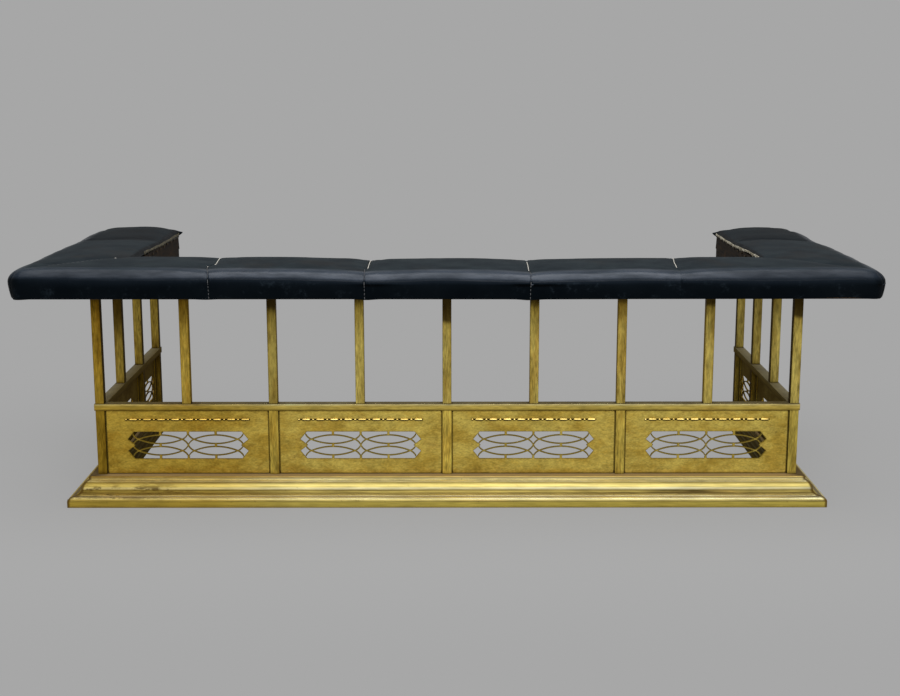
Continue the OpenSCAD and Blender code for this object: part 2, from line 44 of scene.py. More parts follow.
# ---- sizes shared with the part, in millimetres ----
FRONT_Y = -256.5          # the front posts' outer faces
SIDE_X = 750.0            # the side posts' outer faces
SEAT_OVER = 137.0         # the seat past the posts' outer faces
SEAT_INNER = 73.0         # the leather's inner edge, in from those faces
ARM_END = 650.0           # the seat's back ends, behind the front posts' outer faces
HEM_Z = 461.0             # the leather's bottom edge
PAD_Z = 486.0             # the underside of the stuffing, on the boards
EDGE_Z = 500.0            # the seat's outer edge, halfway round its turn
BOARD_OUT, BOARD_END = -129.0, 642.0                             # the seat boards
LIP_OUTER, LIP_INNER, LIP_TOP = 57.5, 71.5, 500.0                # the timber lipping
FRONT_CORNER_R, BACK_CORNER_R, INNER_CORNER_R = 30.0, 60.0, 9.0  # the seat's plan corners
SEAM_NEAR, SEAM_FAR, ARM_SEAM = 165.0, 478.0, 400.0              # the cross seams
PANEL_SET = 3.5           # the panels' faces, behind the posts' outer faces
BEADS_Z = 178.0           # the bead strips' middle
PANEL_MIDDLE_Z = 128.5    # the panels' middle

scene = bpy.context.scene
scene.view_settings.view_transform = "Standard"


# ---- camera: fitted to the photograph's posts, rails, plinth and seat ----
camera_data = bpy.data.cameras.new("camera")
camera_data.lens = 58.80
camera_data.sensor_width = 36.0
camera_data.clip_end = 60.0
camera = bpy.data.objects.new("camera", camera_data)
camera.location = (0.0083, -3.3041, 0.9461)
camera.rotation_euler = [math.radians(a) for a in (78.651, 0.0508, 0.0242)]
scene.collection.objects.link(camera)
scene.camera = camera


# ---- small helpers ----
def colour(text):
    """An sRGB hex colour as linear RGBA."""
    parts = [int(text[i:i + 2], 16) / 255 for i in (0, 2, 4)]
    return [c / 12.92 if c <= 0.04045 else ((c + 0.055) / 1.055) ** 2.4 for c in parts] + [1.0]


def node(tree, kind, *inputs, out=0, stops=(), ease="LINEAR", **settings):
    """Adds a shader node with its settings and links, and returns one of its outputs. A
    word after the kind is its operation. The inputs come in order, or in a dictionary by
    name or number; each is a value or another node's output. The stops are a colour
    ramp's: places from 0 to 1, and colours."""
    kind, _, operation = kind.partition(" ")
    made = tree.nodes.new("ShaderNode" + kind)
    if operation:
        made.operation = operation
    for name, value in settings.items():
        setattr(made, name, value)
    by_name = inputs[0] if inputs and isinstance(inputs[0], dict) else dict(enumerate(inputs))
    for name, value in by_name.items():
        if isinstance(value, bpy.types.NodeSocket):
            tree.links.new(value, made.inputs[name])
        else:
            made.inputs[name].default_value = value
    if stops:
        band = made.color_ramp
        band.interpolation = ease
        while len(band.elements) < len(stops):
            band.elements.new(0.5)
        for element, (position, tone) in zip(band.elements, stops):
            element.position, element.color = position, tone
    return made.outputs[out] if made.outputs else None


SOFT = {"interpolation_type": "SMOOTHSTEP"}       # a range that starts and ends softly
AS_COLOURS = {"data_type": "RGBA", "out": 2}      # a mix of colours 6 and 7 by share 0
DARKEN = {"blend_type": "MULTIPLY"}               # a tint that only darkens


def new_material(name):
    """An empty material, what adds its nodes, and the row frame's coordinates."""
    made = bpy.data.materials.new(name)
    made.use_nodes = True
    made.node_tree.nodes.clear()
    add = functools.partial(node, made.node_tree)
    return made, add, add("TexCoord", out="Object")


def axes(add, vector):
    """A vector's three numbers."""
    return [add("SeparateXYZ", vector, out=k) for k in range(3)]


def patchy(add, place, size_mm, low, high, detail=3.0, roughness=0.5, distortion=0.0, ends=(0.0, 1.0)):
    """Soft-edged patches about size_mm across: cloudy noise, cut between two levels."""
    cloud = add("TexNoise", {"Vector": place, "Scale": 1000.0 / size_mm, "Detail": detail,
                             "Roughness": roughness, "Distortion": distortion})
    return add("MapRange", cloud, low, high, *ends, **SOFT)


def strayed(add, value, place, size_mm, reach):
    """A measure in metres that wanders from place to place, so that its edge isn't ruled."""
    cloud = add("TexNoise", {"Vector": place, "Scale": 1000.0 / size_mm, "Detail": 3.0})
    return add("Math MULTIPLY_ADD", cloud, reach, value)


def dented(add, place, size_mm, depth_mm, detail=3.0, roughness=0.5, fine=None):
    """The normal of a surface with soft dents, over that of its finer relief."""
    cloud = add("TexNoise", {"Vector": place, "Scale": 1000.0 / size_mm, "Detail": detail,
                             "Roughness": roughness})
    relief = {"Height": cloud, "Distance": depth_mm * MM, "Strength": 1.0}
    if fine is not None:
        relief["Normal"] = fine
    return add("Bump", relief)


def coat(add, tone, share, tint, thick=1.0, **settings):
    """A tint laid over the tone where share is 1; it covers as much as thick there."""
    share = add("Math MULTIPLY", share, thick)
    return add("Mix", {0: share, 6: tone, 7: colour(tint)}, **AS_COLOURS, **settings)


def thickest(add, layers):
    """The thickest of several layers of dirt and of painted shade, each a share and its most."""
    total = 0.0
    for share, most in layers:
        total = add("Math MAXIMUM", total, add("Math MULTIPLY", share, most))
    return total


# ---- brass ----
def facing(add):
    """The true direction of the face, as three numbers."""
    return axes(add, add("NewGeometry", out="Normal"))


def hearth_side(add, x):
    """1 on faces that look into the hearth, which smoke and heat have browned and which are also darkened as
    painted shade.
    """
    across, inward, _ = facing(add)
    shares = [(add("MapRange", inward, 0.5, 0.8, **SOFT), 1.0)]
    for side in (-1, 1):
        looks_in = add("MapRange", across, -0.5 * side, -0.8 * side, **SOFT)
        at_side = add("MapRange", x, 0.71 * side, 0.715 * side, **SOFT)
        shares.append((add("Math MULTIPLY", looks_in, at_side), 1.0))
    return thickest(add, shares)


def crevices(add, reach_mm, low, high):
    """1 where other faces stand close by: grime gathers there, and the brass is darkened there as painted
    shade.
    """
    open_share = add("AmbientOcclusion", {"Distance": reach_mm * MM}, samples=6, out="AO")
    return add("MapRange", add("Math SUBTRACT", 1.0, open_share), low, high, **SOFT)


def cut_edges(add, radius_mm):
    """1 along a plate's sharp edges, found where a rounded normal turns from the true one."""
    rounded = add("Bevel", {"Radius": radius_mm * MM}, samples=6)
    turn = add("VectorMath DOT_PRODUCT", rounded, add("NewGeometry", out="Normal"), out="Value")
    return add("MapRange", add("Math SUBTRACT", 1.0, turn), 0.0, 0.22, **SOFT)


def slender(add, reach_mm):
    """1 on bars slimmer than about reach_mm."""
    inner = add("AmbientOcclusion", {"Distance": reach_mm * MM}, samples=6, inside=True, out="AO")
    return add("MapRange", inner, 0.6, 0.2, **SOFT)


def levels(add, height, painted_light_bands):
    """A colour for each height in millimetres above the floor, painting highlights and shade."""
    low, high = painted_light_bands[0][0], painted_light_bands[-1][0]
    share = add("Math MULTIPLY_ADD", height, 1000.0 / (high - low), -low / (high - low))
    return add("ValToRGB", share, stops=[((z - low) / (high - low), colour(text)) for z, text in painted_light_bands])


# Limits in metres between which something goes from nothing to full
FRONT_WALL_Y = (-0.20, -0.22)        # forward of the sides
UNDER_RAIL_Z = (0.200, 0.198)        # below the middle rail
LEFT_END_X = (-0.30, -0.52)
# Where the posts stand in a table that runs the whole way along the front
TABLE_LENGTH = 1.6                   # metres
POST_PLACES = (0.038, 0.153, 0.269, 0.384, 0.5, 0.616, 0.731, 0.847, 0.962)
LOWER_POST_PLACES = (0.037, 0.269, 0.5, 0.731, 0.963)
# How much of its polish each post has kept, and how far down its dark top end reaches, a brown stain with
# painted shade under the seat
POST_POLISH = (0.78, 0.9, 0.56, 0.75, 0.75, 0.86, 0.88, 0.77, 0.76)
LOWER_POST_POLISH = (0.47, 1.0, 0.94, 0.67, 0.57)
POST_DARK_TOP = (0.1, 0.06, 0.5, 0.22, 0.9, 0.32, 0.1, 0.3, 0.75)
SECOND_POST_Y = -0.0453              # the second post of each side, in metres


def post_wear(add, place, x, y, z, tone):
    """The posts' own wear and painted shade: the tone with them, and their layers of grime and painted shade.
    """
    along = add("Math MULTIPLY_ADD", x, 1 / TABLE_LENGTH, 0.5)
    polish, low_polish, dark_top = (
        add("ValToRGB", along, ease="EASE", stops=[(at, (v, v, v, 1.0)) for at, v in zip(places, values)])
        for places, values in ((POST_PLACES, POST_POLISH), (LOWER_POST_PLACES, LOWER_POST_POLISH),
                               (POST_PLACES, POST_DARK_TOP)))
    polish = add("Math MULTIPLY", polish, add("MapRange", y, *FRONT_WALL_Y, 1.1, 1.25, **SOFT))
    # Below the middle rail they are brighter, apart from the corner ones
    below = add("MapRange", z, *UNDER_RAIL_Z, **SOFT)
    low_polish = add("Math MULTIPLY_ADD", low_polish, 1.6, -1.0)
    polish = add("Math MULTIPLY", polish, add("Math MULTIPLY_ADD", low_polish, below, 1.0))
    tone = coat(add, tone, below, "FFFBE0", **DARKEN)
    tone = add("VectorMath SCALE", {0: tone, "Scale": polish})
    # The dark top end, at another height each time: a stain where the rag stops short of the seat, and
    # painted shade under it
    dark_top = add("Math MULTIPLY", dark_top, add("MapRange", y, *FRONT_WALL_Y, 0.1, 1.0, **SOFT))
    height = add("Math MULTIPLY_ADD", dark_top, 0.06, z)
    height = strayed(add, add("Math SUBTRACT", height, 0.015), place, 30.0, 0.03)
    dark_top_end = add("MapRange", height, 0.434, 0.452, **SOFT)
    # The left corner post, every post's upper half and the flanks are darkened as painted shade
    corner = add("Math MULTIPLY", add("MapRange", x, -0.71, -0.73, **SOFT),
                 add("MapRange", y, -0.22, -0.24, **SOFT))
    tone = coat(add, tone, corner, "E6DCBA", **DARKEN)
    tone = coat(add, tone, add("MapRange", z, 0.33, 0.46, **SOFT), "B6AC88", **DARKEN)
    flank_shade = add("MapRange", add("Math ABSOLUTE", facing(add)[0]), 0.6, 0.9, **SOFT)
    tone = coat(add, tone, flank_shade, "4A3A16", 0.75)
    # The left side's second post is brown in its upper half
    from_second = add("Math ABSOLUTE", add("Math SUBTRACT", y, SECOND_POST_Y))
    second = add("Math MULTIPLY", add("MapRange", x, -0.70, -0.72, **SOFT),
                 add("MapRange", from_second, 0.013, 0.011, 0.0, 0.6, **SOFT))
    second = add("Math MULTIPLY", second, add("MapRange", z, 0.25, 0.36, **SOFT))
    upright = add("VectorMath MULTIPLY", place, (1.0, 1.0, 0.35))
    brown = patchy(add, upright, 20.0, 0.54, 0.66, 5.0, 0.72)
    return tone, [(dark_top_end, 0.88), (second, 1.0), (brown, 0.42)]


def moulding_grime_and_shade(add, place, x, y, z):
    """Old polish, dried in brown blots along the moulding's left end, and painted shade along
    the mitres at the two front corners."""
    blots = patchy(add, add("VectorMath MULTIPLY", place, (0.4, 1.0, 1.0)), 20.0, 0.51, 0.59, 6.0, 0.75)
    for value, *limits in ((z, 0.042, 0.034, 0.35, 1.0), (z, 0.016, 0.022, 0.15, 1.0),
                           (x, -0.50, -0.62, 0.0, 0.9)):
        blots = add("Math MULTIPLY", blots, add("MapRange", value, *limits, **SOFT))
    # Painted shade in a dark line along each front mitre
    past_side = add("Math SUBTRACT", add("Math ABSOLUTE", x), SIDE_X * MM)
    off_mitre = add("Math ABSOLUTE", add("Math ADD", past_side, add("Math SUBTRACT", y, FRONT_Y * MM)))
    line = add("Math MULTIPLY", add("MapRange", off_mitre, 0.008, 0.003, 0.0, 0.92, **SOFT),
               add("MapRange", y, -0.15, -0.2, **SOFT))
    return [(blots, 1.0), (line, 1.0)]


def bead_grime_and_shade(add, x, y, z):
    """Painted shade and grime in the necks between the beads, near the strip's axis, and painted shade under
    the strip.
    """
    off_front = add("Math ABSOLUTE", add("Math SUBTRACT", y, (FRONT_Y + PANEL_SET) * MM))
    off_side = add("Math ABSOLUTE", add("Math SUBTRACT", add("Math ABSOLUTE", x), (SIDE_X - PANEL_SET) * MM))
    out = add("Math MINIMUM", off_front, off_side)
    rise = add("Math SUBTRACT", z, BEADS_Z * MM)
    reach = add("Math SQRT", add("Math MULTIPLY_ADD", out, out, add("Math MULTIPLY", rise, rise)))
    return [(add("MapRange", reach, 2.6 * MM, 2.2 * MM, **SOFT), 1.0),
            (add("MapRange", facing(add)[2], -0.05, -0.3, **SOFT), 1.0)]


def aged_brass(name, part, clean, dull, spot, roughness, streak=(1.0, 1.0, 1.0), painted_light_bands=None, edge=None,
               edge_mm=2.0, dust=None, mottle=1.0, warmth=0.32, gaps_mm=9.0, gaps=(0.12, 0.55)):
    """Yellow brass, polished long ago and gone unevenly dull: the polish survives in
    soft patches, warm brown tarnish sits between, grime and painted shade fill the
    corners, and the hearth side is dark with soot and painted shade. Thick tarnish hides
    the metal, so it loses the metal's shine. Bands are colours by height that paint
    highlights and shade; dust is a pair, for the front and the sides."""
    made, add, place = new_material(name)
    drawn = add("VectorMath MULTIPLY", place, streak)
    x, y, z = axes(add, place)
    patches = patchy(add, drawn, 34.0, 0.36, 0.64, 7.0, 0.68)
    # Where bands are given, the colour by height paints highlights and shade
    clean_tone_and_painted_bands = levels(add, z, painted_light_bands) if painted_light_bands else colour(clean)
    tone = add("Mix", {0: patches, 6: colour(dull), 7: clean_tone_and_painted_bands}, **AS_COLOURS)
    if painted_light_bands:
        tone = add("Mix", {0: 0.5, 6: tone, 7: clean_tone_and_painted_bands}, **AS_COLOURS)
    warm = patchy(add, drawn, 19.0, 0.52, 0.72, 6.0, 0.7, 0.6)
    tone = coat(add, tone, warm, "B5873C", warmth)
    # Clouds of three sizes make it lighter and darker
    light = 1.0
    for where, size_mm, detail, rough, reach in ((drawn, 6.5, 4.0, 0.65, 1.3), (drawn, 2.4, 1.0, 0.5, 0.9),
                                                 (place, 55.0, 3.0, 0.5, 0.6)):
        cloud = add("TexNoise", {"Vector": where, "Scale": 1000.0 / size_mm, "Detail": detail,
                                 "Roughness": rough})
        light = add("Math MULTIPLY_ADD", add("Math SUBTRACT", cloud, 0.5), reach * mottle, light)
    tone = add("VectorMath SCALE", {0: tone, "Scale": add("Math MAXIMUM", light, 0.15)})
    # The left end is darkened as painted shade; specks of tarnish lie everywhere
    tone = coat(add, tone, add("MapRange", x, *LEFT_END_X, **SOFT), "EADFBE", **DARKEN)
    specks = (patchy(add, place, 9.0, 0.64, 0.72, 4.0, 0.7) if painted_light_bands else
              patchy(add, drawn, 17.0, 0.64, 0.72, 5.0, 0.74))
    # Grime, and painted shade, in the crevices
    crevice_grime_and_shade = crevices(add, gaps_mm, *gaps)
    if part == "panel":
        # Along the panels' upright edges, beside the posts, this grime and painted shade is weaker than along
        # their long ones
        off_middle = add("Math ABSOLUTE", add("Math SUBTRACT", z, PANEL_MIDDLE_Z * MM))
        crevice_grime_and_shade = add("Math MULTIPLY", crevice_grime_and_shade, add("MapRange", off_middle, 0.062, 0.066, 0.15, 1.0, **SOFT))
    grime_and_shade = [(specks, 0.7), (crevice_grime_and_shade, 0.92)]
    if edge:
        # Painted shade along sharp edges: the panels' cut edges, the rail's edges and the posts' sides
        edge_shade = cut_edges(add, edge_mm)
        if part == "post":
            edge_shade = add("Math MULTIPLY", edge_shade, add("MapRange", z, *UNDER_RAIL_Z, 1.0, 0.1, **SOFT))
        tone = coat(add, tone, edge_shade, edge, 0.85)
    if part == "panel":
        # The thin bars are darkened as painted shade
        tone = coat(add, tone, slender(add, 3.6), "6E602A", 0.85)
    elif part == "post":
        tone, layers = post_wear(add, place, x, y, z, tone)
        grime_and_shade += layers
    elif part == "moulding":
        grime_and_shade += moulding_grime_and_shade(add, place, x, y, z)
    elif part == "bead":
        grime_and_shade += bead_grime_and_shade(add, x, y, z)
    # The tone is darkened by real grime and by painted shade in crevices, along the mitres, under the beads
    # and at the posts' tops
    dirt_and_shade = thickest(add, grime_and_shade)
    tone = coat(add, tone, dirt_and_shade, spot)
    # Soot, and painted shade, on faces that look into the hearth
    soot_and_shade = hearth_side(add, x)
    tone = coat(add, tone, soot_and_shade, "241C0C", 0.92)
    hidden = thickest(add, [(dirt_and_shade, 0.6), (soot_and_shade, 0.3)])
    if dust:
        # Dust lies on what faces up, and soot on its hearth side
        level = add("Math MULTIPLY", add("MapRange", facing(add)[2], 0.97, 0.995, **SOFT), 0.9)
        inside = add("Math SUBTRACT", SIDE_X * MM, add("Math ABSOLUTE", x))
        settled = coat(add, colour(dust[0]), add("MapRange", inside, 0.030, -0.006, **SOFT), dust[1])
        inside = add("Math MINIMUM", inside, add("Math SUBTRACT", y, FRONT_Y * MM))
        sooted = add("Math MULTIPLY", add("MapRange", inside, 0.012, 0.018, **SOFT),
                     add("MapRange", z, 0.10, 0.09, **SOFT))
        settled = coat(add, settled, sooted, "2A2115")
        tone = add("Mix", {0: level, 6: tone, 7: settled}, **AS_COLOURS)
        hidden = add("Math MAXIMUM", hidden, level)
    rough = add("Math MULTIPLY_ADD", patches, -0.10, roughness + 0.07)
    rough = add("Math MULTIPLY_ADD", add("Math MAXIMUM", hidden, soot_and_shade), 0.3, rough)
    # Rubbing marks are finer than this; 1.5 mm is as fine as shows at all
    marks = dented(add, drawn, 1.5, 0.012, 2.0)
    add("OutputMaterial", add("BsdfPrincipled", {
        "Base Color": tone, "Roughness": rough, "Metallic": add("Math SUBTRACT", 1.0, hidden),
        "Specular IOR Level": 0.08, "Specular Tint": colour("DCC488"),
        "Normal": dented(add, drawn, 22.0, 0.06, fine=marks)}))
    return made


# Rolled plate, pierced with a saw: mottled with age, its cut edges and thin bars darkened as painted shade
brass_panel = aged_brass("brass_plate_aged", "panel", "EED368", "C2A344", "4A3712", 0.36, (0.5, 0.5, 1.0),
                         edge="42340F", edge_mm=1.3, mottle=0.8, gaps_mm=6.0, gaps=(0.08, 0.45))
# Drawn bar: streaked along its length, with painted shade along its bottom edge, a painted highlight along
# its top edge, and its top face darkened
brass_rail = aged_brass("brass_bar_drawn", "rail", "E9D275", "BC9F48", "4F3B14", 0.34, (0.12, 0.12, 1.0),
                        edge="8A7236", edge_mm=1.0, dust=("3C311A", "6C6654"),
                        painted_light_bands=[(199.0, "5E4A1A"), (200.6, "A08838"), (203.0, "DEC460"), (208.5, "DDC466"),
                               (210.5, "F3E296"), (213.0, "F8ECB0")])
# Drawn square tube: streaked upwards, brown where the rag doesn't reach, and darkened as painted shade on its
# sides and under the seat
brass_post = aged_brass("brass_tube_drawn", "post", "E2CC6C", "A98E40", "2E210B", 0.36, (1.0, 1.0, 0.15),
                        edge="6E6428", edge_mm=3.5, mottle=1.3, warmth=0.25)
# Sheet rolled to a moulding: its colours by height paint highlights on its high edges and shade, with grime,
# in its hollows
brass_moulding = aged_brass(
    "brass_sheet_rolled", "moulding", "F0E38F", "BCA85A", "4F3B16", 0.45, (0.06, 0.06, 1.0),
    dust=("8E7A56", "54452E"), mottle=0.65, warmth=0.14,
    painted_light_bands=[(0.0, "CCB655"), (12.0, "D6C25C"), (13.5, "8C7C40"), (15.5, "5E5432"), (17.5, "857B4C"),
           (18.8, "FFF8C4"), (21.5, "FFFAD0"), (23.2, "DCCB86"), (24.3, "C2B076"), (25.6, "4A3A1C"),
           (29.8, "1C150A"), (32.2, "74602E"), (33.2, "FFF8C8"), (36.0, "FFFAD0"), (38.2, "B0A66C"),
           (44.5, "A2965F"), (46.8, "82733F"), (48.4, "FFF8C8"), (52.0, "FFF8C4"), (55.5, "9C8655")])
# Cast beads and reels: polished on top, with painted shade and grime in the necks and painted shade
# underneath
brass_bead = aged_brass("brass_bead_cast", "bead", "F2DA86", "DAC06C", "2A1D08", 0.45, mottle=0.5,
                        gaps_mm=3.0)


# ---- steel, timber, leather and threads ----
def plain_finish(name, base, roughness, metallic=0.0, mottle="000000", share=0.2, size_mm=12.0):
    """One even colour, spotted with a second."""
    made, add, place = new_material(name)
    patches = patchy(add, place, size_mm, 0.4, 0.7, 5.0, 0.6)
    add("OutputMaterial", add("BsdfPrincipled", {
        "Base Color": coat(add, colour(base), patches, mottle, share), "Metallic": metallic,
        "Roughness": add("Math MULTIPLY_ADD", patches, 0.15, roughness),
        "Normal": dented(add, place, 2.0, 0.04)}))
    return made


def timber(name, light, dark, along, roughness, ring_mm, wear=None, shine=0.3):
    """Sawn wood whose grain runs along one axis; wear is a paler, rubbed colour."""
    made, add, place = new_material(name)
    grain = [1.0, 1.0, 1.0]
    grain[along] = 0.06
    run = add("VectorMath MULTIPLY", place, grain)
    pores = patchy(add, run, 1.6, 0.55, 0.75, 2.0)
    tone = coat(add, colour(dark), patchy(add, run, ring_mm, 0.35, 0.65, 4.0, 0.65, 0.4), light)
    tone = coat(add, tone, pores, dark, 0.5)
    if wear:
        tone = coat(add, tone, patchy(add, place, 34.0, 0.52, 0.68, 5.0, 0.7), wear, 0.6)
    relief = add("Bump", {"Height": pores, "Distance": -0.12 * MM, "Strength": 1.0})
    add("OutputMaterial", add("BsdfPrincipled", {
        "Base Color": tone, "Roughness": roughness, "Specular IOR Level": shine, "Normal": relief}))
    return made


# Mild steel flat under brushed black paint: near black and half matt
black_steel = plain_finish("mild_steel_black_paint", "17171A", 0.42, 0.0, "2A2622")
# Turned mild steel: a grey shine, spotted by old oil
bright_steel = plain_finish("mild_steel_bright", "8F8D88", 0.38, 1.0, "4A4640", 0.5)
# Pressed tack heads: brass gone dull brown, with little of its shine left
tack_brass = plain_finish("tack_brass_dull", "3E311D", 0.6, 0.6, "1C150B", 0.8, 9.0)
# Sawn softwood, never finished: pale, matt, with dark pores along the grain
core_timber = timber("softwood_sawn", "9A7448", "6B4A2A", 0, 0.75, 9.0)
board_timber = [timber("softwood_board_" + "xy"[k], "A07A4C", "71502F", k, 0.78, 11.0) for k in (0, 1)]
# Stained hardwood: nearly black, rubbed back to brown in places
lip_timber = [timber("hardwood_stained_" + "xy"[k], "22180C", "0F0A05", k, 0.75, 6.0, "3E2A15", 0.08)
              for k in (0, 1)]


def black_leather(name):
    """Black hide finished with pigment: matt and near black down its sides, faded grey
    green on top, and rubbed by sitters' legs to a bluish shine where it turns over the
    edge. The shine is a worn coat of wax over the hide, on a painted bluish sheen."""
    made, add, place = new_material(name)
    x, y, _ = axes(add, place)
    off_centre = add("Math ABSOLUTE", x)
    up = facing(add)[2]
    tone = coat(add, colour("020405"), patchy(add, place, 120.0, 0.35, 0.7, 5.0, 0.6), "05080A")
    faded = add("MapRange", up, 0.78, 0.97, **SOFT)
    top_tone = coat(add, colour("11181C"), patchy(add, place, 60.0, 0.3, 0.7, 6.0, 0.7), "1E2528")
    top_tone = coat(add, top_tone, patchy(add, place, 150.0, 0.5, 0.7, 4.0, 0.6), "211E1B", 0.45)
    # Behind the arms' cross seams the hide has kept more of its black
    behind = strayed(add, y, place, 60.0, 0.03)
    rear = add("Math MULTIPLY", add("MapRange", behind, 0.118, 0.142, **SOFT),
               add("MapRange", behind, 0.20, 0.40, 1.0, 0.45, **SOFT))
    rear = add("Math MULTIPLY", rear, add("MapRange", off_centre, 0.66, 0.71, **SOFT))
    top_tone = coat(add, top_tone, rear, "0A0B0C", 0.6)
    tone = add("Mix", {0: faded, 6: tone, 7: top_tone}, **AS_COLOURS)
    # Faint pale scuffs on the upright sides
    scuffs = add("Math MULTIPLY", patchy(add, place, 32.0, 0.54, 0.74, 8.0, 0.8),
                 add("MapRange", up, 0.5, 0.2, **SOFT))
    tone = coat(add, tone, scuffs, "222A30", 0.6)
    # The rubbed ridge follows the outer edge, and is strongest in the middle of the front
    in_front = add("Math ADD", y, (SEAT_OVER - FRONT_Y) * MM)
    in_side = add("Math SUBTRACT", (SIDE_X + SEAT_OVER) * MM, off_centre)
    inward = strayed(add, add("Math MINIMUM", in_front, in_side), place, 90.0, 0.014)
    ridge = add("Math MULTIPLY", add("MapRange", up, 0.34, 0.74, **SOFT),
                add("MapRange", inward, 0.050, 0.030, **SOFT))
    ridge = add("Math MULTIPLY", ridge, add("MapRange", off_centre, 0.66, 0.36, 0.5, 1.0, **SOFT))
    streaks = patchy(add, add("VectorMath MULTIPLY", place, (0.3, 1.0, 1.0)), 30.0, 0.32, 0.68, 6.0, 0.7,
                     ends=(0.55, 1.25))
    wax_and_sheen = add("Math MULTIPLY", ridge, streaks)
    # Hide grain is near 1 mm; its cells are drawn at 2.2 mm so that they show
    cells = add("TexVoronoi", {"Vector": place, "Scale": 1000.0 / 2.2}, feature="SMOOTH_F1", out="Distance")
    grain = add("Bump", {"Height": cells, "Distance": 0.05 * MM, "Strength": 1.0})
    # The ridge's base colour carries a painted bluish sheen under the wax coat
    add("OutputMaterial", add("BsdfPrincipled", {
        "Base Color": coat(add, tone, wax_and_sheen, "162230", 0.9),
        "Roughness": add("Math MULTIPLY_ADD", faded, 0.12, 0.5),
        "Specular IOR Level": 0.07, "Specular Tint": colour("B4D4FF"),
        "Coat Weight": add("Math MULTIPLY", wax_and_sheen, 0.8), "Coat Roughness": 0.25,
        "Normal": dented(add, place, 14.0, 0.2, 4.0, 0.6, grain)}))
    return made


seat_leather = black_leather("leather_black_hide")
# Waxed linen thread, white where it is new and grey where hands have soiled it; the grey copy also paints
# shade down the front walls
thread_white = plain_finish("linen_thread_waxed", "B4B1A8", 0.7, 0.0, "7A776E", 0.6, 3.0)
thread_greyed_and_shaded = plain_finish("linen_thread_greyed_and_shaded", "47484A", 0.85, 0.0, "26272A", 0.7, 6.0)
# Woven cotton tape, the flesh side of the hide, and frayed canvas: all matt and uneven
binding_cloth = plain_finish("cotton_binding_black", "161614", 0.9, 0.0, "2A2620", 0.5, 8.0)
hide_back = plain_finish("hide_flesh_side", "1C1713", 0.9, 0.0, "0E0B09", 0.6, 20.0)
canvas = {False: plain_finish("canvas_frayed_brown", "56503C", 0.9, 0.0, "1E1912", 0.9, 11.0),
          True: plain_finish("canvas_frayed_pale", "716955", 0.9, 0.0, "CDC8B6", 0.95, 10.0)}


# ---- what the CAD nodes are made of: the first that a node's name starts with ----
FINISHES = {
    "plinth_core": core_timber, "plinth": brass_moulding, "lower_post": brass_post, "post": brass_post,
    "panel": brass_panel, "bead": brass_bead, "middle_rail": brass_rail, "top_rail": black_steel,
    "seat_board_front": board_timber[0], "seat_board": board_timber[1],
    "seat_lipping_front": lip_timber[0], "seat_lipping": lip_timber[1],
    "seat_tacks": tack_brass, "seat_pad": seat_leather, "": bright_steel}
BEVEL_MM = {"plinth": 0.4, "lower_post": 0.7, "post": 0.7, "panel": 0.3, "middle_rail": 0.7,
            "top_rail": 0.5, "seat_board": 0.8, "seat_lipping": 1.2, "": 0.0}

for name, piece in nodes.items():
    finish, width = (next(v for start, v in table.items() if name.startswith(start))
                     for table in (FINISHES, BEVEL_MM))
    piece.data.materials.clear()
    piece.data.materials.append(finish)
    if "custom_normal" in piece.data.attributes:
        piece.data.attributes.remove(piece.data.attributes["custom_normal"])
    piece.data.polygons.foreach_set("use_smooth", [True] * len(piece.data.polygons))
    weld = piece.modifiers.new("weld", "WELD")
    weld.merge_threshold = 0.01 * MM
    if width:
        bevel = piece.modifiers.new("eased_edges", "BEVEL")
        bevel.width = width * MM
        bevel.segments = 2
        bevel.limit_method = "ANGLE"
        bevel.angle_limit = math.radians(40)
    normals = piece.modifiers.new("flat_faces", "WEIGHTED_NORMAL")
    normals.keep_sharp = True


# ---- the leather seat ----
# Nine sections of hide over stuffing, sewn to each other across the seat. Each one is a
# closed grid: its rows run round the outline, its columns stand along the wall.
# Outer wall, from the boards' under edge up: inward from the widest line, and height
WALL_ROWS = [(7.9, HEM_Z), (7.0, 461.1), (6.0, 462.0), (5.2, 464.0), (4.2, 467.5),
             (2.9, 473.0), (1.8, 479.0), (0.9, 485.0), (0.3, 490.0)]
# Columns across the two top edges, inward from the outer and the inner one
RING = [0.0, 0.4, 1.4, 3.0, 5.2, 8.0, 11.2, 14.8, 18.8, 23.2, 27.8, 32.5]
INNER_RING = [9.0, 7.0, 5.2, 3.6, 2.2, 1.1, 0.3, 0.0]
OUTER_R, INNER_R = 20.5, 5.0              # the turns of the two top edges
TOP_STEP, COLUMN_STEP = 5.4, 5.5          # the grid, away from edges and seams
# Columns beside a seam
SEAM_STEPS = [0.0, 0.6, 1.2] + [float(k) for k in range(2, 17)] + [18.5, 22.0, 26.0]
OUTER_X, INNER_X = SIDE_X + SEAT_OVER, SIDE_X - SEAT_INNER
CREST_OVER = 10.0                         # the pad's highest line, past the posts' outer faces
FRONT_STRAIGHT, ARM_STRAIGHT = 520.0, 230.0   # beyond these the columns lean towards the mitre


def smooth(t):
    """From 0 to 1, starting and ending softly."""
    t = np.clip(t, 0.0, 1.0)
    return t * t * (3 - 2 * t)


def soft_table(places, values, blur):
    """A table read with its corners rounded off over about blur millimetres."""
    fine = np.arange(places[0] - 200.0, places[-1] + 200.0, 2.0)
    kernel = np.exp(-(np.arange(-3 * blur, 3 * blur + 1, 2.0) / blur) ** 2)
    padded = np.pad(np.interp(fine, places, values), len(kernel) // 2, mode="edge")
    rounded = np.convolve(padded, kernel / kernel.sum(), mode="valid")[:len(fine)]
    return lambda at: np.interp(at, fine, rounded)


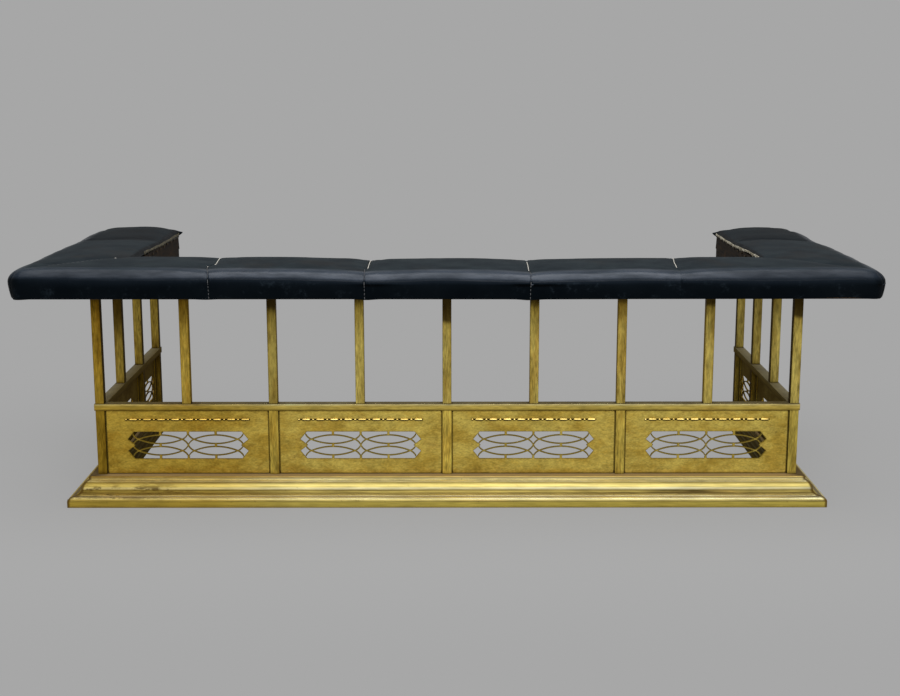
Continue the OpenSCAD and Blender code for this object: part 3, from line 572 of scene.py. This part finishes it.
def waves(seed, count, shortest, longest):
    """Smooth seeded waviness over the plan: a sum of sines, about -1 to 1."""
    r = np.random.RandomState(seed)
    length = np.exp(r.uniform(math.log(shortest), math.log(longest), count))
    angle, phase = r.uniform(0, math.tau, count), r.uniform(0, math.tau, count)
    kx, ky = np.cos(angle) * math.tau / length, np.sin(angle) * math.tau / length

    def at(x, y):
        total = sum(np.sin(a * x + b * y + p) for a, b, p in zip(kx, ky, phase))
        return total / math.sqrt(count)
    return at


slow_waves = waves(11, 9, 90.0, 320.0)
short_waves = waves(12, 14, 26.0, 70.0)

# The pad's highest line, along the front and along each arm
front_crest = soft_table(
    [-700, -600, -541, -478, -430, -320, -200, -165, -120, -40, 20, 90, 150, 200, 300, 400, 478, 530, 700],
    [521.5, 521.5, 521.5, 520, 521.5, 520.5, 517.5, 515, 515.5, 518.5, 518, 517, 515, 515, 517, 519, 518,
     520, 520], 26.0)
arm_crest = {False: soft_table([0, 150, 250, 400, 520, 650], [521.5, 521, 519, 517, 518.5, 519], 40.0),
             True: soft_table([0, 150, 250, 400, 520, 650], [520, 519.5, 518, 514.5, 515.5, 516.5], 40.0)}
# How far the leather's bottom edge strays, along the front
hem = soft_table(
    [-887, -860, -830, -520, -485, -450, -190, -162, -135, 110, 140, 160, 195, 400, 700, 766, 830, 850, 887],
    [-2.2, -1.8, 0.1, 0, -1.6, 0, -0.3, -2.6, -0.6, -0.9, -1.1, -3.2, -1.2, -0.6, -0.5, 1.4, 1.5, -0.8,
     -1.2], 8.0)
# The leather's edge on the arms' inner side
inner_edge = soft_table([73, 150, 220, 420, 650], [501, 505, 506, 501, 492], 20.0)


def arm_back(a):
    """0 at the front of an arm, 1 at its back end."""
    return smooth((a - 120.0) / (ARM_END - 130.0))


def edge_drop(d, r, wide=1.0):
    """How far a rounded edge r high lies below the flat, d in from its face; it is wide
    times as deep as it is high."""
    t = np.clip(1 - d / (r * wide), 0.0, 1.0)
    return r * (1 - np.sqrt(np.maximum(0.0, 1 - t ** 2)))


def round_corner(x, y, cx, cy, sx, sy, r):
    """Bends a square plan corner to radius r; (cx, cy) is its point, (sx, sy) points out of it."""
    a = r - (cx - x) * sx
    b = r - (cy - y) * sy
    both = (a > 0) & (b > 0)
    length = np.sqrt(a * a + b * b)
    scale = np.where(both, np.maximum(a, b) / np.where(length > 0, length, 1), 1.0)
    return (np.where(both, cx + sx * (a * scale - r), x),
            np.where(both, cy + sy * (b * scale - r), y))


def to_row(s, u, z, arm, right):
    """Along, inward and up from a wall, in millimetres, to the row frame in metres."""
    x, y = ((SIDE_X - u) * (1 if right else -1), s) if arm else (s, u)
    for side in (-1, 1):
        x, y = round_corner(x, y, side * OUTER_X, -SEAT_OVER, side, -1, FRONT_CORNER_R)
        x, y = round_corner(x, y, side * OUTER_X, ARM_END, side, 1, BACK_CORNER_R)
        x, y = round_corner(x, y, side * INNER_X, ARM_END, -side, 1, INNER_CORNER_R)
    return np.stack([x, y + FRONT_Y, z], -1) * MM


def profile_rows():
    """The rows of the outline: kind, inward place, and height or share of a height."""
    rows = [("wall", -SEAT_OVER + d, z) for d, z in WALL_ROWS]
    rows += [("top", -SEAT_OVER + d, 0.0) for d in RING]
    start, end = -SEAT_OVER + RING[-1], SEAT_INNER - INNER_RING[0]
    steps = int(round((end - start) / TOP_STEP))
    rows += [("top", start + (end - start) * k / steps, 0.0) for k in range(1, steps)]
    rows += [("top", SEAT_INNER - d, 0.0) for d in INNER_RING]
    rows += [("face", SEAT_INNER, share) for share in (0.35, 0.7, 1.0)]
    rows += [("lip", LIP_INNER + 0.1, 0.0)]
    rows += [("inside", LIP_INNER + 0.1, LIP_TOP + 0.1), ("inside", LIP_OUTER - 0.1, LIP_TOP + 0.1),
             ("inside", LIP_OUTER - 0.1, PAD_Z + 0.1), ("inside", BOARD_OUT - 0.1, PAD_Z + 0.1)]
    return rows


ROWS = profile_rows()
KIND = np.array([kind for kind, _, _ in ROWS])
U = np.array([u for _, u, _ in ROWS])
ROW_Z = np.array([z for _, _, z in ROWS])
# Distance across the leather from the outer top edge; down the wall it is negative
ACROSS = np.where(KIND == "wall", ROW_Z - EDGE_Z, U + SEAT_OVER)
SKIN = (KIND == "wall") | (KIND == "top")


class Seam:
    """A sewn seam: its groove, the sunk strip beside it, pulled wrinkles that leave it
    and the hem's ripples that run alongside."""

    def __init__(self, place, line=None, groove=1.5, sink=0.9, ripple=0.0, pull=0.5, seed=1, count=22):
        r = np.random.RandomState(seed)
        self.place, self.line = place, line
        self.groove, self.sink, self.ripple = groove, sink, ripple
        # Each wrinkle: where across the leather, its width, reach, slant, depth and side
        self.folds = list(zip(
            r.uniform(-46, 210, count), r.uniform(2.5, 6.0, count), r.uniform(9.0, 30.0, count),
            r.uniform(-0.35, 0.35, count), r.uniform(0.25, 0.95, count) * pull * r.choice([-0.6, 1.0], count),
            r.choice([-1, 1], count)))

    def lows(self, s, u):
        """How far the hide is drawn down at each grid point."""
        away = s - (self.place(u) if callable(self.place) else self.place)
        run, across = np.abs(away), ACROSS[:, None]
        low = self.groove * np.exp(-(run / 1.7) ** 1.6) + self.sink * np.exp(-(run / 16.0) ** 1.5)
        if self.ripple:
            on_top = smooth((across - 70.0) / 16.0)
            low = low + self.ripple * on_top * np.exp(-run / 14.0) * (1 - np.cos(math.tau * run / 4.2)) / 2
        for at, width, reach, slant, depth, side in self.folds:
            here = np.where(np.sign(away) == side, 1.0, 0.25)
            line = np.exp(-((across - at - slant * run) / width) ** 2)
            low = low + depth * here * line * np.exp(-run / reach) * (1 - np.exp(-run / 2.0))
        return low

    def shift(self, s):
        """How far the seam strays from its straight line, fading out to both sides."""
        if self.line is None:
            return 0.0
        stray = np.interp(ACROSS, *self.line)[:, None] - self.place
        stray = np.where(SKIN[:, None], stray, 0.0)
        return stray * np.exp(-((s - self.place) / 50.0) ** 2)


# Each seam's line is how far across the leather it is, and where it then runs
FRONT_SEAMS = [
    Seam(-SEAM_FAR, ([-40, 0, 22, 50, 66, 84, 94, 210], [-478, -479, -482, -487, -488.5, -480, -476, -484.5]),
         ripple=0.5, pull=0.8, seed=40),
    Seam(-SEAM_NEAR, ([-40, 27, 70, 84, 204], [-165, -166, -168, -162, -162]), 1.6, 1.0, ripple=1.7,
         pull=0.8, seed=41),
    Seam(SEAM_NEAR, ([-40, 26, 54, 171, 210], [168, 170, 167, 169, 170]), 1.6, 1.0, ripple=0.8,
         pull=0.7, seed=42),
    Seam(SEAM_FAR, ([-40, 20, 59, 130, 208], [474, 471, 469, 474, 483]), 0.8, 0.5, ripple=0.9,
         pull=0.8, seed=43),
]
ARM_SEAMS = {False: Seam(ARM_SEAM, groove=0.45, sink=0.3, pull=0.2, seed=51),
             True: Seam(ARM_SEAM, groove=0.4, sink=0.2, pull=0.2, seed=52)}


def mitre(arm, right):
    """The diagonal seam between the front and an arm, seen from either of them."""
    side = 1 if right else -1
    place = (lambda u: u) if arm else (lambda u: side * (SIDE_X - u))
    return Seam(place, groove=0.9, sink=0.5, pull=0.3, seed=62 if right else 61)


def skin(s, arm, right, seams):
    """Along, inward and up of every grid point, and the outline's normal there."""
    shape = s.shape
    u = np.repeat(U[:, None], shape[1], 1)
    kind, row_z = KIND[:, None], ROW_Z[:, None]
    d_out, d_in = u + SEAT_OVER, SEAT_INNER - u
    side = 1 if right else -1
    plan_x, plan_y = ((SIDE_X - u) * side, s) if arm else (s, u)
    back = arm_back(s) if arm else np.zeros(shape)
    from_corner = s + SEAT_OVER if arm else OUTER_X - np.abs(s)
    # The top falls from its crest to the outer edge, more so away from the front corners,
    # and to the inner edge, most of all at the arms' back ends
    crest = arm_crest[right](s) if arm else front_crest(s)
    outward = np.clip((-CREST_OVER - u) / (SEAT_OVER - CREST_OVER), 0, 1.2)
    inward = np.clip((u + CREST_OVER) / (SEAT_INNER + CREST_OVER), 0, 1.2)
    slope = 1.5 + (5.0 if arm else 3.5) * smooth(from_corner / 300.0) + 1.5 * back
    crown = crest - slope * outward ** 2 - (3.0 + 7.0 * back) * inward ** 2.2
    # Both edges are rounded, the outer one more at the front corners, and so are the back ends
    inner_r = INNER_R + 2.0 * back
    outer_r = OUTER_R + (12.0 if right else 8.0) * np.exp(-from_corner / 55.0)
    drop = np.maximum(edge_drop(d_out, outer_r, 1.5), edge_drop(d_in, inner_r))
    end_gap = ARM_END - s if arm else np.full(shape, 1e3)
    drop = np.maximum(drop, edge_drop(end_gap, OUTER_R))
    lean_end = np.clip(1 - end_gap / OUTER_R, 0, 1)
    z = crown - drop
    # The inner face hangs from the top's last row, down to the timber lipping
    last_top = np.repeat(z[np.flatnonzero(KIND == "top")[-1]][None, :], len(U), 0)
    edge = inner_edge(s[KIND == "face"][-1]) if arm else np.full(shape[1], LIP_TOP - 1.0)
    edge = np.minimum(np.repeat(edge[None, :], len(U), 0), last_top - 1.0)
    sag = np.zeros(shape) if arm else hem(s) * (1 - smooth((row_z - HEM_Z) / 22.0))
    z = np.where(kind == "wall", row_z + sag, z)
    z = np.where(kind == "face", last_top + (edge - last_top) * row_z, z)
    z = np.where(kind == "lip", edge, z)
    z = np.where(kind == "inside", row_z, z)

    # Waves, seams and wrinkles lie along the outline's normal
    tu, tz = np.gradient(u, axis=0), np.gradient(z, axis=0)
    length = np.maximum(np.hypot(tu, tz), 1e-6)
    nu, nz = -tz / length, tu / length
    low = -0.5 * slow_waves(plan_x, plan_y) - 0.13 * short_waves(plan_x, plan_y)
    for seam in seams:
        low = low + seam.lows(s, u)
    if arm and not right:
        # A sitter has pressed a hollow across the left arm
        low = low + 2.4 * np.exp(-((s - 370.0) / 20.0) ** 2) * np.exp(-((u + 54.0) / 52.0) ** 4)
    # Where the hide is tacked down it can't move
    hold = np.where(kind == "wall", np.clip((row_z - HEM_Z - 1.0) / 14.0, 0, 1), 1.0)
    hold = np.where(kind == "face", 1.0 - row_z, hold)
    hold = np.where((kind == "lip") | (kind == "inside"), 0.0, hold)
    u_out = u - low * hold * nu
    z_out = z - low * hold * nz * np.sqrt(1 - lean_end ** 2)
    first_inside = np.flatnonzero(KIND == "inside")[0]
    z_out[first_inside] = np.maximum(z_out[first_inside], edge[0])

    s_out = s.copy()
    for seam in seams:
        if callable(seam.place):
            # At the mitre both walls' leather must move together, along the diagonal
            near = np.exp(-((s - seam.place(u)) / 30.0) ** 2)
            s_out = s_out + (u_out - u) * near * (1 if arm else -side)
        else:
            s_out = s_out + seam.shift(s)
    if arm:
        # The back end leans in like the outer wall, and stays behind the board's end inside
        lean = np.where(kind == "wall", d_out, 0.0)
        limit = np.where(kind == "inside", BOARD_END + 0.1, ARM_END - lean)
        s_out = np.minimum(s_out - low * lean_end * 0.8 * hold, limit)
    return {"s": s_out, "u": u_out, "z": z_out, "nu": nu, "nz": nz, "arm": arm, "right": right}


def end_loops(section):
    """Columns that carry the last column of an arm down its end face."""
    added = []
    for d, level in reversed(WALL_ROWS[1:]):
        s, u, z = (section[k][:, -1].copy() for k in "suz")
        lower = z > level
        s = np.where(lower & (KIND != "inside"), ARM_END - d, s)
        added.append((s, u, np.where(lower, level, z)))
    return [np.stack([column[k] for column in added], 1) for k in range(3)]


def add_piece(name, mesh, material, replaces=()):
    """An object that rides with the frame, in place of the CAD nodes that it replaces."""
    made = bpy.data.objects.new(name, mesh)
    scene.collection.objects.link(made)
    mesh.materials.append(material)
    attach(made, "root")
    if replaces:
        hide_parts(*replaces)
    return made


def section_piece(name, section, sewn):
    """A section's closed mesh; sewn marks grid points that the stuffing can't move."""
    points = to_row(section["s"], section["u"], section["z"], section["arm"], section["right"])
    # The lowest third of the wall is held by the tacks
    free = np.repeat(SKIN[:, None] & (ACROSS[:, None] > -26.0), points.shape[1], 1)
    free[:, :sewn.shape[1]] &= ~sewn
    free[:, sewn.shape[1]:] = False
    if section.get("end_columns"):
        extra = end_loops(section)
        cols = to_row(*extra, section["arm"], section["right"])
        points = np.concatenate([points, cols], 1)
        free = np.concatenate([free, np.zeros(cols.shape[:2], bool)], 1)
    rows, columns = points.shape[:2]
    bm = bmesh.new()
    loose = bm.verts.layers.int.new("free")
    grid = [[bm.verts.new(points[r, c]) for c in range(columns)] for r in range(rows)]
    for r in range(rows):
        for c in range(columns):
            grid[r][c][loose] = int(free[r, c])
        for c in range(columns - 1):
            n = (r + 1) % rows
            bm.faces.new((grid[r][c], grid[r][c + 1], grid[n][c + 1], grid[n][c]))
    bmesh.ops.remove_doubles(bm, verts=bm.verts, dist=0.02 * MM)
    bmesh.ops.dissolve_degenerate(bm, edges=bm.edges, dist=0.01 * MM)
    for f in bm.faces:
        f.smooth = True
    ends = [e for e in bm.edges if e.is_boundary]
    for f in bmesh.ops.holes_fill(bm, edges=ends, sides=0)["faces"]:
        f.smooth = False
        for e in f.edges:
            e.smooth = False
    bmesh.ops.recalc_face_normals(bm, faces=bm.faces)
    mesh = bpy.data.meshes.new(name)
    bm.to_mesh(mesh)
    bm.free()
    made = add_piece(name, mesh, seat_leather, [name.replace("leather_section", "seat_pad")])
    return made


def stations(start, end, dense_at_start=True, dense_at_end=True):
    """Places from start to end, close together next to a seam."""
    length, reach = end - start, SEAM_STEPS[-1]
    places = {0.0, length}
    if dense_at_start:
        places |= set(SEAM_STEPS)
    if dense_at_end:
        places |= {length - d for d in SEAM_STEPS}
    low = reach if dense_at_start else 0.0
    high = length - (reach if dense_at_end else 0.0)
    count = int(round((high - low) / COLUMN_STEP))
    places |= {low + (high - low) * k / count for k in range(count + 1)}
    return start + np.array(sorted(places))


SEWN_REACH = 5.0          # how far from a seam its stitches hold the hide
sections = {}


def keep_section(name, s, arm, right, seams, end_columns=False):
    """Makes a section's piece and keeps its grid for the threads and bindings."""
    section = skin(s, arm, right, seams)
    section["end_columns"] = end_columns
    sewn = np.zeros(s.shape, bool)
    for seam in seams:
        at = seam.place(U[:, None]) if callable(seam.place) else seam.place
        sewn |= np.abs(s - at) < SEWN_REACH
    if arm:
        sewn |= s > ARM_END - SEWN_REACH - 1.0
    section["piece"] = section_piece("leather_section_" + name, section, sewn)
    sections[name] = section


FRONT_EDGES = [-SEAM_FAR, -SEAM_NEAR, SEAM_NEAR, SEAM_FAR]
for k in range(3):
    row = stations(FRONT_EDGES[k], FRONT_EDGES[k + 1])
    keep_section(f"front_{k + 2}", np.repeat(row[None, :], len(U), 0), False, k == 2, FRONT_SEAMS[k:k + 2])
for side in (-1, 1):
    right = side > 0
    row = stations(SEAM_FAR, INNER_X)[None, :]
    share = np.clip((row - FRONT_STRAIGHT) / (INNER_X - FRONT_STRAIGHT), 0, 1)
    leaning = FRONT_STRAIGHT + share * (SIDE_X - U[:, None] - FRONT_STRAIGHT)
    s = np.where(row <= FRONT_STRAIGHT, row, leaning) * side
    keep_section("front_5" if right else "front_1", s[:, ::side], False, right,
                 [FRONT_SEAMS[3 if right else 0], mitre(False, right)])
    name = "right" if right else "left"
    row = stations(SEAT_INNER, ARM_SEAM)[None, :]
    share = np.clip((row - SEAT_INNER) / (ARM_STRAIGHT - SEAT_INNER), 0, 1)
    s = np.where(row >= ARM_STRAIGHT, row, U[:, None] + share * (ARM_STRAIGHT - U[:, None]))
    keep_section(name + "_1", s, True, right, [ARM_SEAMS[right], mitre(True, right)])
    row = np.concatenate([stations(ARM_SEAM, ARM_END - RING[-1], True, False)[:-1],
                          [ARM_END - d for d in RING[::-1]]])
    keep_section(name + "_2", np.repeat(row[None, :], len(U), 0), True, right, [ARM_SEAMS[right]], True)


# ---- the stuffing swells the hide between its seams ----
SWELL_CAP = 3.0           # millimetres
SWELL_FRAMES = 20
HIDE = {"vertex_group_mass": "held", "quality": 4, "mass": 0.4, "tension_stiffness": 25.0,
        "compression_stiffness": 25.0, "bending_stiffness": 3.0, "use_pressure": True,
        "uniform_pressure_force": 4.0}


def swell(pieces):
    """A cloth simulation of every section at once: pressure from inside, no gravity, the
    seams, the tacked edges and the underside held. Its result is written to the meshes."""
    rest = {}
    for made in pieces:
        free = np.zeros(len(made.data.vertices), int)
        made.data.attributes["free"].data.foreach_get("value", free)
        held = made.vertex_groups.new(name="held")
        held.add([int(i) for i in np.flatnonzero(free == 0)], 1.0, "REPLACE")
        flat = np.zeros(len(free) * 3)
        made.data.vertices.foreach_get("co", flat)
        rest[made.name] = flat.reshape(-1, 3)
        cloth = made.modifiers.new("stuffing", "CLOTH")
        for setting, value in HIDE.items():
            setattr(cloth.settings, setting, value)
        cloth.settings.effector_weights.gravity = 0.0
        cloth.collision_settings.use_collision = False
        cloth.point_cache.frame_end = SWELL_FRAMES
    for frame_number in range(1, SWELL_FRAMES + 1):
        scene.frame_set(frame_number)
    depsgraph = bpy.context.evaluated_depsgraph_get()
    moved = {}
    for made in pieces:
        flat = np.zeros(len(made.data.vertices) * 3)
        made.evaluated_get(depsgraph).data.vertices.foreach_get("co", flat)
        moved[made.name] = flat.reshape(-1, 3)
    for made in pieces:
        made.modifiers.remove(made.modifiers["stuffing"])
        made.vertex_groups.remove(made.vertex_groups["held"])
        step = moved[made.name] - rest[made.name]
        size = np.linalg.norm(step, axis=1, keepdims=True)
        cap = SWELL_CAP * MM
        step = step * np.tanh(size / cap) * cap / np.maximum(size, 1e-9)
        made.data.vertices.foreach_set("co", (rest[made.name] + step).ravel())
        made.data.update()
    scene.frame_set(1)


swell([section["piece"] for section in sections.values()])
for section in sections.values():
    section["piece"].data.attributes.remove(section["piece"].data.attributes["free"])


# ---- threads, bindings and frayed edges, after the simulation ----
class Shape:
    """Gathers closed pieces of one object's mesh, in metres."""

    def __init__(self):
        self.verts, self.faces = [], []

    def loft(self, rings):
        """A closed body through rings of equal length, capped at both ends."""
        first, count, sides = len(self.verts), len(rings), len(rings[0])
        self.verts += [tuple(p) for ring in rings for p in ring]
        for k in range(count - 1):
            for j in range(sides):
                a, b = first + k * sides + j, first + k * sides + (j + 1) % sides
                self.faces.append((a, b, b + sides, a + sides))
        self.faces.append(tuple(first + j for j in reversed(range(sides))))
        self.faces.append(tuple(first + (count - 1) * sides + j for j in range(sides)))

    def thread(self, points, outward, radius, sides=6):
        """A round thread through the points; outward is any direction off its line."""
        along = np.gradient(points, axis=0)
        along /= np.linalg.norm(along, axis=1, keepdims=True)
        across = np.cross(along, outward)
        across /= np.linalg.norm(across, axis=1, keepdims=True)
        up = np.cross(across, along)
        turns = [math.tau * k / sides for k in range(sides)]
        self.loft([[p + radius * MM * (math.cos(t) * a + math.sin(t) * b) for t in turns]
                   for p, a, b in zip(points, across, up)])

    def knot(self, centre, radius, squash=(1.0, 1.0, 1.0)):
        """A small rounded lump."""
        rings = []
        for k in range(1, 6):
            tilt = math.pi * k / 6
            rings.append([np.array(centre) + radius * MM * np.array(squash) * np.array(
                [math.sin(tilt) * math.cos(t), math.sin(tilt) * math.sin(t), -math.cos(tilt)])
                for t in (math.tau * j / 8 for j in range(8))])
        self.loft(rings)

    def piece(self, name, material, slot, rounded=True):
        """Makes the gathered mesh a piece of the fender."""
        mesh = bpy.data.meshes.new(name)
        mesh.from_pydata(self.verts, [], self.faces)
        mesh.polygons.foreach_set("use_smooth", [rounded] * len(mesh.polygons))
        bm = bmesh.new()
        bm.from_mesh(mesh)
        bmesh.ops.recalc_face_normals(bm, faces=bm.faces)
        bm.to_mesh(mesh)
        bm.free()
        add_piece(name, mesh, material)


def stitched(base, every, hole):
    """Height of a thread over its seam, which dips into a hole at each stitch."""
    return lambda at: base - 2.4 * np.exp(-((((at / every) % 1.0) - 0.5) * every / hole) ** 2)


def along_seam(name, column, start, end, lift):
    """Points of one column of a section's skin and the directions off it."""
    section, rows = sections[name], np.flatnonzero(SKIN)
    at = np.arange(start, end + 0.01, 0.9)
    s, u, z, nu, nz = (np.interp(at, ACROSS[rows], section[k][rows, column])
                       for k in ("s", "u", "z", "nu", "nz"))
    up = lift(at)
    points, higher = (to_row(s, u + nu * h, z + nz * h, section["arm"], section["right"])
                      for h in (up, up + 1.0))
    return points, higher - points


# Each thread by its section, the column it lies on, and where it starts and ends
threads, greyed_and_shaded_threads = Shape(), Shape()
for name, column, start, end in (("front_2", 0, 94.0, 208.0), ("front_2", -1, 84.0, 204.0),
                                 ("front_4", 0, 54.0, 172.0), ("front_4", -1, 62.0, 207.0)):
    threads.thread(*along_seam(name, column, start, end, stitched(0.9, 9.0, 0.9)), 0.85)
# Down the front walls the threads are the grey copy, as painted shade
for name, column, start, end in (("front_2", 0, -37.0, 66.0), ("front_2", -1, -37.0, 68.0),
                                 ("front_4", 0, -37.0, 46.0)):
    greyed_and_shaded_threads.thread(*along_seam(name, column, start, end, stitched(0.75, 7.0, 1.9)), 0.75)
greyed_and_shaded_threads.thread(*along_seam("left_1", 0, 72.0, 184.0, stitched(0.5, 8.0, 1.2)), 0.6)
# Knots where a thread ends
for name, at, size in (("front_2", 93.0, 2.2), ("front_2", 66.0, 1.6), ("left_1", 184.0, 2.2)):
    knots, _ = along_seam(name, 0, at, at, lambda a: np.full(len(a), 0.6))
    threads.knot(knots[0], size, (1.0, 1.0, 0.5))
threads.piece("seam_threads", thread_white, "seat_leather")
greyed_and_shaded_threads.piece("seam_threads_greyed_and_shaded", thread_greyed_and_shaded, "seat_leather")


def on_arm(right, s, u, z):
    """A single point of an arm, in the row frame."""
    return to_row(np.array(s), np.array(u), np.array(z), True, right)


def inner_strip(right, at, thick, low, high):
    """A thin strip that stands on the arm's inner face, between two heights."""
    strip = Shape()
    strip.loft([[on_arm(right, s, SEAT_INNER + u, z)
                 for u, z in ((0.05, bottom), (thick, bottom), (thick, top), (0.05, top))]
                for s, bottom, top in zip(at, low, high)])
    return strip


rng = np.random.RandomState(7)
AROUND = ((-1, 0), (-0.7, 0.7), (0, 1), (0.7, 0.7), (1, 0), (0.7, -0.7), (0, -1), (-0.7, -0.7))
for right in (False, True):
    name = "right" if right else "left"
    # The raw edge of the hide on the arm's inner side: a dark binding, and below it a
    # strip of the canvas lining that has frayed through
    row = np.flatnonzero(KIND == "top")[-1]
    s, z = (np.concatenate([sections[f"{name}_{k}"][axis][row] for k in (1, 2)]) for axis in "sz")
    at = np.arange(SEAT_INNER + 45.0 if right else 212.0, ARM_END - 9.0, 2.5)
    top_z = np.interp(at, s, z)
    edge_z = np.minimum(inner_edge(at), top_z - 1.0)
    binding = inner_strip(right, at, 0.5, edge_z - 1.0, top_z - 1.0)
    binding.piece(f"edge_binding_{name}", binding_cloth, "seat_leather", False)
    ragged = top_z - 3.6 - rng.uniform(-1.5, 1.5, len(at)) - np.where(rng.rand(len(at)) < 0.12, 2.5, 0.0)
    upper = top_z + 0.5 + 0.6 * np.sin(at / 17.0) + rng.uniform(-0.5, 0.5, len(at))
    frayed = inner_strip(right, at, 1.3, ragged, upper)
    frayed.piece(f"frayed_canvas_{name}", canvas[right], "seat_leather", False)
    # A pointed corner of hide that has sprung away from the arm's back end
    corner, tip_z = Shape(), 497.5 if right else 501.0
    corner.loft([[on_arm(right, ARM_END - 9.0 + 4.0 * t + deep * (5.5 * (1 - t) + 0.5),
                         SEAT_INNER - 5.0 + 14.5 * t ** 0.9,
                         tip_z + 2.5 * t ** 3 + high * (6.5 * (1 - t) ** 0.8 + 0.6))
                  for deep, high in AROUND] for t in np.linspace(0.0, 1.0, 8)])
    corner.piece(f"leather_corner_{name}", seat_leather, "seat_leather")

# Below the board the hide is turned in and tacked along its outer edge
hem_band, hem_tacks = Shape(), Shape()
HEM_OVER, HEM_WIDE = 129.4, 22.4          # its outer edge past the posts, and its width
HEM_START = SIDE_X - 56.0                 # where it starts and ends, at the arms' back ends
TACK_STEP = 25.0
outer, inner = ([(-HEM_START, back), (-side, back), (-side, front), (side, front), (side, back),
                 (HEM_START, back)]
                for side, front, back in ((SIDE_X + HEM_OVER - k, k - HEM_OVER, BOARD_END - 0.6 - k)
                                          for k in (0.0, HEM_WIDE)))


def hem_point(x, y, z):
    """A plan point of the turned-in hem, with the seat's rounded corners."""
    x, y = np.array(x), np.array(y)
    for side in (-1, 1):
        x, y = round_corner(x, y, side * (SIDE_X + HEM_OVER), -HEM_OVER, side, -1, FRONT_CORNER_R - 8.0)
        x, y = round_corner(x, y, side * (SIDE_X + HEM_OVER), BOARD_END - 0.6, side, 1, BACK_CORNER_R - 8.0)
    return np.stack([x, y + FRONT_Y, z], -1) * MM


rings, tack_gap = [], 0.0
for corners in zip(outer, outer[1:], inner, inner[1:]):
    start, end, inner_start, inner_end = (np.array(corner) for corner in corners)
    length = np.linalg.norm(end - start)
    count = int(length / 6.0)
    for k in range(count):
        here = start + (end - start) * (k / count)
        there = inner_start + (inner_end - inner_start) * (k / count)
        # The raw inner edge of the hide is cut unevenly
        there = there + (there - here) / HEM_WIDE * rng.uniform(-1.5, 1.5)
        rings.append([hem_point(*here, HEM_Z + 0.9), hem_point(*there, HEM_Z + 0.9),
                      hem_point(*there, HEM_Z), hem_point(*here, HEM_Z - 0.5)])
        tack_gap += length / count
        if tack_gap > TACK_STEP:
            tack_gap = 0.0
            middle = here * 0.45 + there * 0.55
            # Some have fallen out near the right front corner
            if not (740 < middle[0] < 860 and middle[1] < -100):
                hem_tacks.knot(hem_point(*middle, HEM_Z - 0.3), 4.0, (1.0, 1.0, 0.35))
hem_band.loft(rings)
hem_band.piece("turned_hem", hide_back, "seat_leather", False)
hem_tacks.piece("hem_tacks", tack_brass, "tack_brass")


# ---- floor, backdrop and light ----
BACKDROP = colour("A7A7A7")


def seen_directly(add):
    """1 for what the camera sees, straight or in a reflection."""
    seen, mirrored, through = (add("LightPath", out=f"Is {ray} Ray")
                               for ray in ("Camera", "Glossy", "Transmission"))
    return add("Math ADD", add("Math ADD", seen, mirrored), through, use_clamp=True)


world = bpy.data.worlds.new("studio")
scene.world = world
world.use_nodes = True
world.node_tree.nodes.clear()
add = functools.partial(node, world.node_tree)
add("OutputWorld", add("MixShader", seen_directly(add), add("Background", colour("FFFFFF"), 0.55),
                       add("Background", BACKDROP, 1.0)))

floor_mesh = bpy.data.meshes.new("floor")
floor_mesh.from_pydata([(-9, -9, 0), (9, -9, 0), (9, 14, 0), (-9, 14, 0)], [], [(0, 1, 2, 3)])
floor = bpy.data.objects.new("floor", floor_mesh)
floor.location.z = -0.2 * MM
scene.collection.objects.link(floor)
# Matt paint that takes the fender's shadow, and shows the backdrop's grey away from it
floor_paint, add, place = new_material("studio_floor")
away = add("VectorMath SUBTRACT", add("VectorMath ABSOLUTE", place), (0.85, 0.35, 0.0))
away = add("VectorMath LENGTH", add("VectorMath MAXIMUM", away, (0.0, 0.0, 0.0)), out="Value")
plain = add("Math MULTIPLY", seen_directly(add), add("MapRange", away, 0.02, 0.8, 0.78, 1.0, **SOFT))
add("OutputMaterial", add("MixShader", plain, add("BsdfDiffuse", colour("9C9C9C")),
                          add("Emission", BACKDROP, 1.0)))
floor_mesh.materials.append(floor_paint)


def softbox(name, place, aim, size, watts):
    """A soft rectangular studio light, pointed at aim."""
    data = bpy.data.lights.new(name, "AREA")
    data.shape = "RECTANGLE"
    data.size, data.size_y = size
    data.energy = watts
    lamp = bpy.data.objects.new(name, data)
    lamp.location = place
    away = np.array(place) - np.array(aim)
    lamp.rotation_euler = Vector(away).to_track_quat("Z", "Y").to_euler()
    scene.collection.objects.link(lamp)


softbox("overhead_softbox", (0.0, -0.3, 2.4), (0.0, -0.3, 0.4), (3.2, 2.2), 40.0)
softbox("front_softbox", (0.3, -3.5, 2.3), (0.0, -0.2, 0.35), (3.4, 2.0), 129.0)
